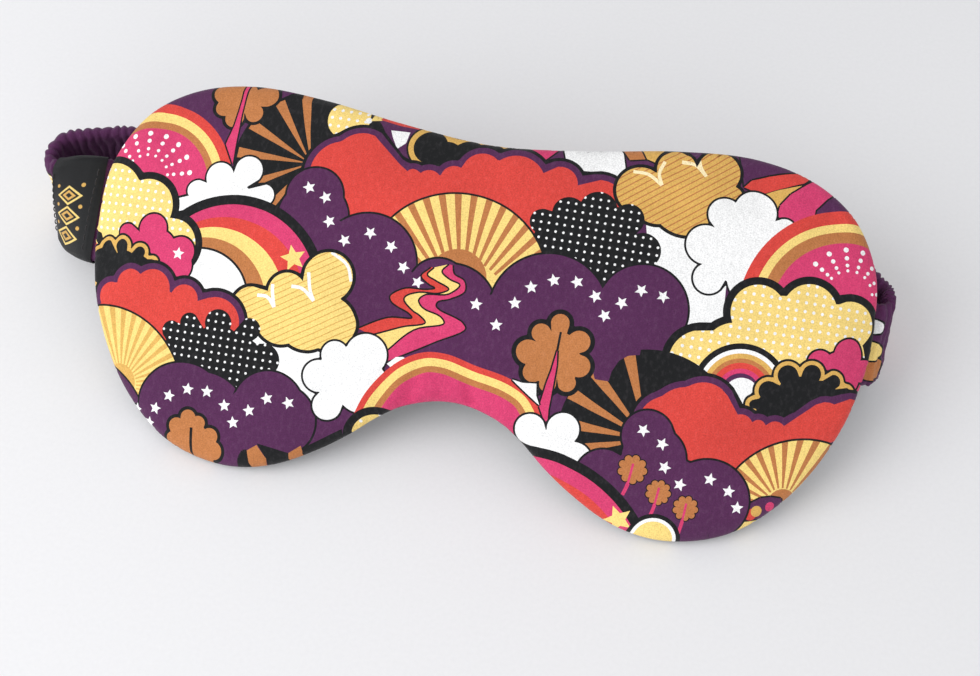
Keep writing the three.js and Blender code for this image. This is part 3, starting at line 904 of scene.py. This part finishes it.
def paint_lower_right(d):
    d.cloud((23, -13.5), 6, [(18.4, -8.7, 2.5), (15.8, -14, 3.2), (17.8, -19, 2.6), (22, -21.4, 2.2),
                             (22.8, -5.4, 2.4), (28.3, -9.4, 2.9), (29.3, -15.6, 2.9), (26.8, -20.3, 2.4)],
            TAN, [(1.2, BLACK)])
    d.line([(23.3, -7.6), (23.2, -10.5), (23.1, -14)], 0.6)
    d.edged([(23.15, -12.5), (22.5, -17.5), (21.7, -21.4), (20.8, -27.6), (23.7, -33), (23.3, -27.9),
             (23.5, -21.6), (23.6, -16.4)], PINK)
    d.edged([(12.7, -21.8), (15.6, -22.2), (19.2, -21.8), (19.6, -24.9), (20.8, -27.3)], WHITE)
    d.cloud((25, -38), 5, [(19.4, -33.8, 4), (27.8, -32.4, 4.2), (31.8, -39.7, 4.6), (26, -42, 7)], WHITE,
            [(THIN, BLACK)])
    d.cloud((58, -46), 11, [(49.5, -30.5, 6.6), (52, -36, 8.2), (67.3, -44.8, 10.9), (56, -52, 12),
                            (44, -47, 9), (40, -43, 7.3)], PURPLE, [(THIN, BLACK)])
    d.stars([(48.2, -29.2), (53.5, -31.9), (55.1, -37.7), (59.7, -41.5), (67.1, -38.9), (72.4, -41.2),
             (75.3, -45.1)])
    for x, y, r, foot in ((47.1, -39.6, 3.7, -1.4), (54.6, -44.4, 3.2, -1.2), (62.2, -47.3, 3.2, -0.6)):
        d.line([(x, y), (x + 0.4 * foot, y - 4), (x + foot, y - 7)], 0.9, PINK)
        d.tree(x, y, r, 0.26 * r, 9, 0.6 * HAIR)
        d.line([(x, y + 0.4 * r), (x + 0.4 * foot, y - 4)], 0.6, PINK)
    d.rainbow(21, -77, [(39, BLACK), (36.4, PINK), (32.6, RED)])
    d.star(45.7, -53.2, 3.9, YELLOW, 30)
    d.rainbow(55.5, -57.2, [(7.2, BLACK), (6.1, WHITE), (5.2, YELLOW)])


PRINT_SCALE = (0.984, 0.991)
PRINT_SHIFT = (2.2, -0.2)


def mask_design():
    """The whole print, furthest motif first, with the scale and shift that were fitted to the photo."""
    d = Design()
    for paint in (paint_upper_left, paint_top_middle, paint_top_right, paint_middle, paint_left,
                  paint_lower_left, paint_nose, paint_right, paint_lower_right):
        paint(d)
    d.shapes = [(shape * PRINT_SCALE + PRINT_SHIFT, ink, ground) for shape, ink, ground in d.shapes]
    return d


# ---------------------------------------------------------------- the padded body of the mask

PAD_COLUMNS = 72
PAD_ROWS = 34
SETTLE_FRAMES = 20
SWELL_CAP = 1.6
PAD_MIDDLE = np.array([0, -3, 0])
PAD_HALF_HEIGHT = 46


def seam_shares(count):
    """Shares from 0 to 1 in count steps, closer together near both ends."""
    return np.sin(math.pi * (np.linspace(0, 1, count + 1) - 0.5)) / 2 + 0.5


def swell(along, up):
    """How full the pad is at shares along and up, from 0 at the seam to 1."""
    side = 1 - np.abs(2 * along - 1) ** 8
    edge = 1 - np.abs(2 * up - 1) ** 5
    return np.sqrt(np.maximum(0, side * edge))


def pillow_grid():
    """Flat points, front heights and back heights on a grid that is finer near the seam."""
    along, up = np.meshgrid(seam_shares(PAD_COLUMNS), seam_shares(PAD_ROWS), indexing="ij")
    flat = face_point(along, up)
    full = swell(along, up)
    front = FRONT_RISE * full ** 0.85
    back = -BACK_DROP * np.minimum(1, 1.25 * full) ** 0.85
    return flat, front, back


def inflate(flat, front, back):
    """Fills the sewn shell with a little air by cloth simulation, the seam held still, and returns
    the settled points of its front and back."""
    rim = np.zeros(front.shape, bool)
    rim[0], rim[-1], rim[:, 0], rim[:, -1] = True, True, True, True
    number = np.arange(front.size).reshape(front.shape)
    back_number = number.copy()
    back_number[~rim] = front.size + np.arange((~rim).sum())
    points = np.concatenate([np.dstack([flat, front]).reshape(-1, 3), np.dstack([flat, back])[~rim]])
    faces = []
    for i in range(PAD_COLUMNS):
        for j in range(PAD_ROWS):
            faces.append((number[i, j], number[i + 1, j], number[i + 1, j + 1], number[i, j + 1]))
            faces.append((back_number[i, j + 1], back_number[i + 1, j + 1], back_number[i + 1, j],
                          back_number[i, j]))
    faces = [tuple(int(k) for k in face) for face in faces]
    shell = make_object("shell", points, faces, bpy.data.materials.new("s"))
    held = shell.vertex_groups.new(name="seam")
    held.add([int(k) for k in number[rim]], 1.0, "REPLACE")
    cloth = shell.modifiers.new("Cloth", "CLOTH")
    settings = cloth.settings
    settings.quality = 6
    settings.mass = 0.25
    settings.tension_stiffness = 12
    settings.compression_stiffness = 12
    settings.bending_stiffness = 0.8
    settings.use_pressure = True
    settings.uniform_pressure_force = 4
    settings.vertex_group_mass = "seam"
    settings.effector_weights.gravity = 0
    cloth.point_cache.frame_start = 1
    cloth.point_cache.frame_end = SETTLE_FRAMES
    scene = bpy.context.scene
    for step in range(1, SETTLE_FRAMES + 1):
        scene.frame_set(step)
    settled = shell.evaluated_get(bpy.context.evaluated_depsgraph_get())
    moved = np.zeros(len(points) * 3)
    settled.data.vertices.foreach_get("co", moved)
    moved = moved.reshape(-1, 3) / MM - points
    size = np.linalg.norm(moved, axis=1, keepdims=True)
    points = points + moved * np.minimum(1, SWELL_CAP / np.maximum(size, 1e-9))
    scene.frame_set(1)
    bpy.data.objects.remove(shell)
    return points[number], points[back_number]


def cubic_weights(t):
    """The shares of four neighbours at a place t between the middle two."""
    return np.stack([-0.5 * t + t ** 2 - 0.5 * t ** 3, 1 - 2.5 * t ** 2 + 1.5 * t ** 3,
                     0.5 * t + 2 * t ** 2 - 1.5 * t ** 3, -0.5 * t ** 2 + 0.5 * t ** 3])


def on_grid(grid, along, up):
    """Smooth interpolation of a grid of points at shares along and up."""
    total = np.zeros((len(along), grid.shape[2]))
    places = []
    for share, count in ((along, PAD_COLUMNS), (up, PAD_ROWS)):
        place = (np.arcsin(np.clip(2 * share - 1, -1, 1)) / math.pi + 0.5) * count
        whole = np.minimum(place.astype(int), count - 1)
        places.append((whole, cubic_weights(place - whole), count))
    (i, wi, columns), (j, wj, rows) = places
    for a in range(4):
        for b in range(4):
            value = grid[np.clip(i + a - 1, 0, columns), np.clip(j + b - 1, 0, rows)]
            total += value * (wi[a] * wj[b])[:, None]
    return total


# Each pucker at the nose arch is x, depth, width and reach.
NOSE_PUCKERS = [(-20, 1.2, 1.9, 6), (-12, 2.2, 2.1, 8.5), (-3.5, 0.7, 1.5, 4), (5.5, 2.1, 2.1, 8.5),
                (11.5, 0.8, 1.6, 5), (18, 1.0, 1.8, 6)]


def pucker(flat):
    """How far the front is drawn in at the nose arch, where the seam turns tightly."""
    along, _ = face_shares(flat)
    above = flat[:, 1] - edge_at(BOTTOM_TABLE, along)[:, 1]
    drawn = np.zeros(len(flat))
    for x, depth, width, reach in NOSE_PUCKERS:
        lean = x - 0.25 * above * np.sign(x)
        drawn += depth * np.exp(-((flat[:, 0] - lean) / width) ** 2) * np.exp(-above / reach)
    return drawn * np.minimum(1, above / 1.5)


def outline_points(step):
    """The seam line as a closed list of flat points about a step apart."""
    shares = np.linspace(0, 1, int(2 * HALF_LENGTH / step * 1.25))
    bottom, top = edge_at(BOTTOM_TABLE, shares), edge_at(TOP_TABLE, shares)[::-1]
    side = int(14 / step)
    right = [bottom[-1] + (top[0] - bottom[-1]) * k / side for k in range(1, side)]
    left = [top[-1] + (bottom[0] - top[-1]) * k / side for k in range(1, side)]
    return np.array([*bottom, *right, *top, *left])


def fill_points(outline, step, clear):
    """A hexagonal net of points inside the outline, clear of it."""
    low, high = outline.min(0), outline.max(0)
    rows = np.arange(low[1], high[1], step * 0.87)
    columns = np.arange(low[0], high[0], step)
    points = np.array([(x + (k % 2) * step / 2, y) for k, y in enumerate(rows) for x in columns])
    points = points[within(outline, points)]
    near = np.array([np.min(np.hypot(*(outline - p).T)) for p in points])
    return points[near > clear]


def ring_points(outline, depths):
    """Rings of points just inside the outline, to round the edge smoothly."""
    ahead = np.roll(outline, -1, axis=0) - np.roll(outline, 1, axis=0)
    inward = np.stack([-ahead[:, 1], ahead[:, 0]], axis=1)
    inward /= np.linalg.norm(inward, axis=1, keepdims=True)
    return np.concatenate([outline + inward * depth for depth in depths])


EDGE_RINGS = (0.12, 0.4, 0.9, 1.6)
FRONT_STEP = 1.1
FRONT_FILL_STEP = 1.55
FRONT_FILL_CLEAR = 2.3


def front_panel(front_grid, material):
    """The printed front, puckered at the nose and a little uneven over the wadding."""
    outline = outline_points(FRONT_STEP)
    fill = np.concatenate([ring_points(outline, EDGE_RINGS),
                           fill_points(outline, FRONT_FILL_STEP, FRONT_FILL_CLEAR)])
    flat, triangles, inks = print_mesh(outline, fill, mask_design())
    along, up = face_shares(flat)
    settled = on_grid(front_grid, along, up)
    settled[:, 2] -= np.minimum(pucker(flat), 0.75 * np.maximum(settled[:, 2], 0))
    x, v = flat.T
    settled[:, 2] += swell(along, up) * (0.16 * waves(x, v, 26, 3) + 0.05 * waves(x, v, 8, 4))
    obj = make_object("front_velour", mask_point(*settled.T), triangles, material)
    colour_faces(obj, inks)
    store_flat(obj, flat)
    return obj


def back_panel(back_grid, material):
    """The lining, a little loose: soft creases run in from the seam."""
    along, up = np.meshgrid(seam_shares(2 * PAD_COLUMNS), seam_shares(2 * PAD_ROWS), indexing="ij")
    points = on_grid(back_grid, along.ravel(), up.ravel())
    full = swell(along, up).ravel()
    slack = np.minimum(1, 1.6 * full) * (1 - 0.5 * full ** 6)
    x, v = points[:, 0], points[:, 1]
    points[:, 2] -= slack * (0.22 * waves(x, v, 17, 8) + 0.1 * waves(x, v * 0.3, 6, 9))
    obj = make_object("back_lining", mask_point(*points.T), grid_faces(*along.shape, flip=True), material)
    store_flat(obj, points)
    return obj


def inner_layer(name, front_grid, back_grid, low_share, high_share, material):
    """A closed inner layer between shares of the way from the back to the front."""
    trim = (1 - PAD_INSET / HALF_LENGTH, 1 - PAD_INSET / PAD_HALF_HEIGHT, 1)
    low = back_grid + (front_grid - back_grid) * low_share
    high = back_grid + (front_grid - back_grid) * high_share
    low, high = ((grid - PAD_MIDDLE) * trim + PAD_MIDDLE for grid in (low, high))
    columns, rows = low.shape[:2]
    size = columns * rows
    faces = grid_faces(columns, rows, size) + grid_faces(columns, rows, 0, flip=True)
    rim = ([(i, 0) for i in range(columns)] + [(columns - 1, j) for j in range(1, rows)]
           + [(i, rows - 1) for i in range(columns - 2, -1, -1)] + [(0, j) for j in range(rows - 2, 0, -1)])
    ring = [i * rows + j for i, j in rim]
    faces += [(a, b, b + size, a + size) for a, b in zip(ring, ring[1:] + ring[:1])]
    points = np.concatenate([low.reshape(-1, 3), high.reshape(-1, 3)])
    obj = make_object(name, mask_point(*points.T), faces, material)
    store_flat(obj, points)
    return obj


STITCH_LENGTH = 2.6
THREAD_SIDES = 6
SEAM_THREAD = 0.2
SEAM_THREAD_SWELLING = 0.05
SEAM_DIP = 0.12
SEAM_GROOVE = 0.35
FINE_THREAD = 0.16
TACK_STITCHES = 34
TACK_HALF_WIDTH = 0.35


def seam_stitches(material):
    """The thread that shows in the seam's groove, dipping between the stitches."""
    pulled = ring_points(outline_points(0.8), (SEAM_GROOVE,))
    step = np.concatenate([[0], np.cumsum(np.linalg.norm(np.diff(pulled, axis=0), axis=1))])
    phase = 2 * math.pi * step / STITCH_LENGTH
    path = mask_point(pulled[:, 0], pulled[:, 1], SEAM_DIP * np.sin(phase))
    radius = SEAM_THREAD + SEAM_THREAD_SWELLING * np.cos(phase)
    return tube("seam_stitching", path, radius, THREAD_SIDES, material, closed=True)


def bar_tack(side, material):
    """Dense zigzag stitches across the strap's end, in the side seam."""
    k = np.arange(2 * TACK_STITCHES + 1)
    v = SEAM_HEIGHT_ON_FACE - TACK_LENGTH / 2 + TACK_LENGTH * k / (2 * TACK_STITCHES)
    x = side * (HALF_LENGTH - TACK_INSET) + np.where(k % 2, TACK_HALF_WIDTH, -TACK_HALF_WIDTH)
    name = "left_tack_stitches" if side < 0 else "right_tack_stitches"
    return tube(name, mask_point(x, v, np.zeros(len(k))), FINE_THREAD, THREAD_SIDES, material)


# ---------------------------------------------------------------- the strap

GATHER_PITCH = 2.35
GATHER_RATIO = 1.5
GATHER_RISE = 0.95
GATHER_SPREAD = 0.9
VALLEY_DEPTH = 0.2
CASING_ROWS = 36


def gathers(distance, around):
    """Rounded ridges with sharp valleys, from 0 to 1, across the gathered casing."""
    phase = (distance / GATHER_PITCH + 0.55 * waves(distance, around * 0.4, 19, 21)
             + 0.22 * waves(distance, around, 9, 22))
    ridge = np.abs(np.sin(math.pi * phase)) ** 0.75
    strength = 0.72 + 0.28 * waves(distance, around, 7, 23)
    return ridge * np.clip(strength, 0.3, 1.15)


SECTION_HALF = STRAP_WIDTH / 2 - 1.2
SECTION_TURN = math.pi * 1.3
PERIMETER = 4 * SECTION_HALF + 2 * SECTION_TURN


def section(around):
    """A point of the casing's flat oval section: across its width, out of the loop, and which way is out."""
    around = np.mod(around, PERIMETER)
    radius = SECTION_TURN / math.pi
    across, out, side, ahead = (np.zeros_like(around) for _ in range(4))
    bounds = np.cumsum([0, 2 * SECTION_HALF, SECTION_TURN, 2 * SECTION_HALF, SECTION_TURN])
    front = around < bounds[1]
    across[front], out[front], side[front] = around[front] - SECTION_HALF, radius, 1
    high = (around >= bounds[1]) & (around < bounds[2])
    turn = (around[high] - bounds[1]) / radius
    across[high], out[high] = SECTION_HALF + radius * np.sin(turn), radius * np.cos(turn)
    side[high], ahead[high] = np.cos(turn), np.sin(turn)
    back = (around >= bounds[2]) & (around < bounds[3])
    across[back], out[back], side[back] = SECTION_HALF - (around[back] - bounds[2]), -radius, -1
    low = around >= bounds[3]
    turn = (around[low] - bounds[3]) / radius
    across[low], out[low] = -SECTION_HALF - radius * np.sin(turn), -radius * np.cos(turn)
    side[low], ahead[low] = -np.cos(turn), -np.sin(turn)
    return across, out, side, ahead


CASING_MARKS = 14
CASING_MARK_PITCH = 19


def casing_design():
    """Simple motifs in the same inks along the strap, and three small marks at its right seam."""
    d = Design()
    for x, y, r, ink in ((1, 4.5, 4, TAN), (1.5, 10.5, 3.2, YELLOW), (1.5, 19, 2.4, WHITE)):
        d.rainbow(STRAP_LENGTH + x, y, [(r + 0.6, BLACK), (r, ink)])
    for k in range(CASING_MARKS):
        u = 22 + CASING_MARK_PITCH * k
        y = 13 + 5 * math.sin(2.3 * k)
        kind = k % 4
        if kind == 0:
            lobes = [(u - 3, y + 4, 4), (u + 3, y + 5, 4), (u + 4, y - 5, 5)]
            d.spots(d.cloud((u, y), 5, lobes, YELLOW, [(1.2, BLACK)]), 2.6, 0.55)
        elif kind == 1:
            d.cloud((u, y), 4, [(u, y + 4, 4), (u + 2, y - 5, 5)], RED, [(1.0, BLACK)])
        elif kind == 2:
            for shift in (-7, 0, 7):
                d.star(u + 0.2 * shift, y + shift, 1.7, turn=20 * shift)
        else:
            d.rainbow(u, y, [(7.5, BLACK), (6.8, PINK), (5, YELLOW), (3, TAN)])
    return d


def sheet_points(along, around):
    """The closed outline of a flat sheet of points, and the points inside it."""
    outline = np.array([*[(x, around[0]) for x in along], *[(along[-1], y) for y in around[1:]],
                        *[(x, around[-1]) for x in along[::-1][1:]],
                        *[(along[0], y) for y in around[::-1][1:-1]]])
    fill = np.array([(x, y) for x in along[1:-1] for y in around[1:-1]])
    return outline, fill


def casing(name, start, end, marks, material):
    """A gathered tube of printed velour round the elastic, between two distances along the strap."""
    step = GATHER_PITCH / 6.5
    columns = int((end - start) / step)
    along = np.linspace(start, end, columns + 1)
    outline, fill = sheet_points(along, np.linspace(0, PERIMETER, CASING_ROWS + 1))
    flat, triangles, inks = print_mesh(outline, fill, marks)
    distance, around = flat[:, 0], flat[:, 1]
    across, out, side, ahead = section(around)
    ridge = gathers(distance, np.minimum(around, np.abs(PERIMETER - around)))
    lift = GATHER_RISE * ridge - VALLEY_DEPTH
    points = strap_point(distance, across + GATHER_SPREAD * lift * ahead,
                         (out + side * lift) * pinch(distance))
    obj = make_object(name, points, triangles, material)
    colour_faces(obj, inks)
    store_flat(obj, flat * (GATHER_RATIO, 1))
    return obj


ELASTIC_SIDES = 20


def elastic(name, start, end, material):
    """Flat woven elastic, with rolled edges."""
    along = np.linspace(start, end, max(4, int((end - start) / 2)))
    turn = 2 * math.pi * np.arange(ELASTIC_SIDES) / ELASTIC_SIDES
    across = ELASTIC_WIDTH / 2 * np.sign(np.cos(turn)) * np.abs(np.cos(turn)) ** 0.3
    out = ELASTIC_THICKNESS / 2 * np.sign(np.sin(turn)) * np.abs(np.sin(turn)) ** 0.5
    d, a = np.repeat(along, ELASTIC_SIDES), np.tile(across, len(along))
    points = strap_point(d, a, np.tile(out, len(along)))
    faces = grid_faces(len(along), ELASTIC_SIDES, wrap=True, flip=True)
    faces += [tuple(range(ELASTIC_SIDES)), tuple(reversed(range(len(d) - ELASTIC_SIDES, len(d))))]
    obj = make_object(name, points, faces, material)
    store_flat(obj, np.column_stack([d, a]))
    return obj


LABEL_HALF_WIDTH = STRAP_WIDTH / 2 + 0.7
LABEL_HALF_THICKNESS = CASING_THICKNESS / 2 + 0.9
LOZENGES = 3
LOZENGE_PITCH = 8
LOZENGE_RINGS = ((5.4, YELLOW), (4.1, BLACK), (2.9, OCHRE), (1.4, BLACK))
LOZENGE_HEIGHT_SHARE = 0.72
LABEL_STANDOFF = 1.15
LABEL_EDGE_STANDOFF = 0.7
LABEL_UNEVENNESS = 0.1


def label_design(perimeter):
    """A row of nested lozenges: no lettering."""
    d = Design()
    d.paint([(LABEL_START - 1, -1), (LABEL_END + 1, -1), (LABEL_END + 1, perimeter + 1),
             (LABEL_START - 1, perimeter + 1)], BLACK)
    middle = (LABEL_START + LABEL_END) / 2
    for k in range(LOZENGES):
        y = 5 + LOZENGE_PITCH * k
        for reach, ink in LOZENGE_RINGS:
            rise = LOZENGE_HEIGHT_SHARE * reach
            d.paint([(middle - reach, y), (middle, y - rise), (middle + reach, y), (middle, y + rise)], ink)
        for shift in (-5, 5):
            d.disc(middle + shift, y + 4, 0.8, OCHRE)
    return d


def label(material):
    """A woven sleeve folded round the strap, its surface a little uneven."""
    face = 2 * LABEL_HALF_WIDTH
    turn_length = math.pi * LABEL_HALF_THICKNESS
    perimeter = 2 * face + 2 * turn_length
    outline, fill = sheet_points(np.linspace(LABEL_START, LABEL_END, 30), np.linspace(0, perimeter, 81))
    flat, triangles, inks = print_mesh(outline, fill, label_design(perimeter))
    distance, around = flat[:, 0], flat[:, 1]
    across, out, side, ahead = section(around * (PERIMETER / perimeter))
    share = math.pi * (distance - LABEL_START) / (LABEL_END - LABEL_START)
    grow = LABEL_STANDOFF + LABEL_UNEVENNESS * waves(distance, around, 9, 31) * np.sin(share)
    points = strap_point(distance, across + LABEL_EDGE_STANDOFF * ahead,
                         (out + side * grow) * pinch(distance))
    obj = make_object("woven_label", points, triangles, material)
    colour_faces(obj, inks)
    store_flat(obj, flat)
    return obj


LABEL_STITCHES = 9
LABEL_STITCH_INSET = 1.2
LABEL_STITCH_RADIUS = 0.17
STITCH_HALF = 0.9
STITCH_RISE = 2.62
STITCH_HUMP = 0.22


def label_stitches(name, distance, material):
    """A row of separate stitches across the label's outer face."""
    stitches = []
    for k in range(LABEL_STITCHES):
        middle = STITCH_LENGTH * (k - (LABEL_STITCHES - 1) / 2)
        t = np.linspace(-STITCH_HALF, STITCH_HALF, 7)
        rise = STITCH_RISE + STITCH_HUMP * np.cos(t / STITCH_HALF * math.pi / 2)
        path = strap_point(np.full(7, distance), middle + t, rise)
        stitches.append(tube(f"{name}_{k}", path, LABEL_STITCH_RADIUS, THREAD_SIDES, material))
    return join(name, stitches)


# ---------------------------------------------------------------- assembly

FOAM_SHARES = (0.36, 0.7)
LINER_SHARES = (0.18, 0.24)
TURN_SHARE = 0.4


def declare_mask(materials):
    front_grid, back_grid = inflate(*pillow_grid())
    velour = front_panel(front_grid, materials["velour"])
    lining = back_panel(back_grid, materials["lining"])
    foam = inner_layer("foam_wadding", front_grid, back_grid, *FOAM_SHARES, materials["wadding"])
    liner = inner_layer("blackout_layer", front_grid, back_grid, *LINER_SHARES, materials["lining"])
    seam = seam_stitches(materials["dark_thread"])
    tacks = [bar_tack(side, materials["dark_thread"]) for side in (-1, 1)]
    pieces = [(velour, "front_panel", "printed_velour"), (lining, "back_panel", "lining"),
              (foam, "foam_pad", "wadding"), (liner, "blackout_liner", "lining"),
              (seam, "seam_thread", "thread"),
              (tacks[0], "left_bar_tack", "thread"), (tacks[1], "right_bar_tack", "thread")]
    for piece, node, slot in pieces:
        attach(piece, "mask")
        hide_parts(node)


def blend_to_mask(piece):
    """Bakes a strap piece's placement into its mesh."""
    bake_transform(piece)


def declare_strap(materials):
    back_start = TWIST_LENGTH_LEFT + PLAIN_LENGTH
    back_end = STRAP_LENGTH - TWIST_LENGTH_RIGHT - PLAIN_LENGTH
    marks = casing_design()
    left_turn = TURN_SHARE * TWIST_LENGTH_LEFT
    right_turn = STRAP_LENGTH - TURN_SHARE * TWIST_LENGTH_RIGHT
    places = (0, left_turn, back_start, back_end, right_turn, STRAP_LENGTH)
    seam_left, turn_left, near_left, near_right, turn_right, seam_right = (
        STRAP_ORIGIN + strap_middle(np.array([place]))[0] for place in places)
    lengths = [("left_end", -TUCK_LENGTH, back_start), ("back", back_start, back_end),
               ("right_end", back_end, STRAP_LENGTH + TUCK_LENGTH)]
    for place, start, end in lengths:
        sleeve = casing(f"gathered_casing_{place}", start, end, marks, materials["casing"])
        band_start, band_end = max(start, ELASTIC_INSET), min(end, STRAP_LENGTH - ELASTIC_INSET)
        band = elastic(f"elastic_band_{place}", band_start, band_end, materials["elastic"])
        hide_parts(f"casing_{place}")
        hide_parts(f"elastic_{place}")
        for piece in (sleeve, band):
            if place == "back":
                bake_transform(piece)
            elif place == "left_end":
                blend_to_mask(piece)
            else:
                blend_to_mask(piece)
    sleeve = label(materials["label"])
    near, far = (label_stitches(f"label_stitches_{end}", distance, materials["label_thread"])
                 for end, distance in (("near", LABEL_START + LABEL_STITCH_INSET),
                                       ("far", LABEL_END - LABEL_STITCH_INSET)))
    for piece, node, slot in ((sleeve, "label", "label_weave"), (near, "label_stitch_near", "thread"),
                              (far, "label_stitch_far", "thread")):
        blend_to_mask(piece)
        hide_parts(node)


# ---------------------------------------------------------------- the studio

CAMERA_AZIMUTH = math.radians(11.5)
CAMERA_ELEVATION = math.radians(61.4)
CAMERA_ROLL = math.radians(-1)
CAMERA_DISTANCE = 352
CAMERA_LENS = 50
SENSOR_WIDTH = 36
IMAGE_WIDTH = 980
AIM = (4.0, 0.0, 6.0)
AIM_RIGHT = -5.6
AIM_UP = 48.3


def make_camera():
    """Looks down at the face from the front. AIM_RIGHT and AIM_UP place the aim point in the image."""
    sin_a, cos_a = math.sin(CAMERA_AZIMUTH), math.cos(CAMERA_AZIMUTH)
    sin_e, cos_e = math.sin(CAMERA_ELEVATION), math.cos(CAMERA_ELEVATION)
    back = Vector((sin_a * cos_e, -cos_a * cos_e, sin_e))
    level = Vector((cos_a, sin_a, 0))
    right = Matrix.Rotation(CAMERA_ROLL, 3, back) @ level
    up = back.cross(right)
    data = bpy.data.cameras.new("camera")
    data.lens = CAMERA_LENS
    data.sensor_width = SENSOR_WIDTH
    data.clip_start = 0.01
    data.clip_end = 20
    camera = bpy.data.objects.new("camera", data)
    bpy.context.scene.collection.objects.link(camera)
    pixels = CAMERA_LENS / SENSOR_WIDTH * IMAGE_WIDTH
    aim = Vector(mask_point(*AIM) * MM)
    distance = CAMERA_DISTANCE * MM
    shift = right * (AIM_RIGHT / pixels * distance) + up * (AIM_UP / pixels * distance)
    place = aim + back * distance - shift
    turn = Matrix((right, up, back)).transposed().to_4x4()
    camera.matrix_world = Matrix.Translation(place) @ turn
    bpy.context.scene.camera = camera


def floor_material():
    n = Nodes("paper_floor")
    position = n.add("TexCoord").outputs["Object"]
    grain = n.noise(position, 900.0, 2.0, 0.5)
    colour = n.mix(grain, linear((232, 232, 234)), linear((238, 238, 240)))
    return n.finish(colour, n.range(grain, 0.85, 0.95), n.bump(grain, 0.05, 0.0002), Specular_IOR_Level=0.2)


FLOOR_REACH = 3000


def make_floor():
    corners = [(x * FLOOR_REACH, y * FLOOR_REACH, 0) for x, y in ((-1, -1), (1, -1), (1, 1), (-1, 1))]
    floor = make_object("floor", corners, [(0, 1, 2, 3)], floor_material(), smooth=False)


LIGHT_TARGET = Vector((0.0, 0.0, 0.02))


def area_light(name, place, size, energy):
    """A round soft light at a place in metres, turned to the mask."""
    data = bpy.data.lights.new(name, "AREA")
    data.shape = "DISK"
    data.size = size
    data.energy = energy
    light = bpy.data.objects.new(name, data)
    light.location = place
    light.rotation_mode = "QUATERNION"
    light.rotation_quaternion = (LIGHT_TARGET - Vector(place)).to_track_quat("-Z", "Y")
    bpy.context.scene.collection.objects.link(light)


def make_light():
    world = bpy.data.worlds.new("studio")
    world.use_nodes = True
    background = world.node_tree.nodes["Background"]
    background.inputs["Color"].default_value = (0.985, 0.99, 1.0, 1.0)
    background.inputs["Strength"].default_value = 0.7
    bpy.context.scene.world = world
    bpy.context.scene.view_settings.view_transform = "Standard"
    area_light("window", (-0.62, -0.3, 0.64), 0.8, 4.4)
    area_light("front_fill", (0.12, -0.95, 0.42), 0.9, 1.7)


# ---------------------------------------------------------------- build everything

MATERIALS = {
    "velour": printed_velour("velour_print"),
    "casing": printed_velour("velour_casing", sheen=0.12, depth=1.3),
    "lining": dark_lining(),
    "wadding": white_wadding(),
    "elastic": ribbed_elastic(),
    "label": label_satin(),
    "dark_thread": sewing_thread("thread_dark", (24, 22, 28), (70, 66, 76)),
    "label_thread": sewing_thread("thread_label", (20, 20, 22), (62, 60, 64)),
}

declare_mask(MATERIALS)
declare_strap(MATERIALS)
make_floor()
make_light()
make_camera()
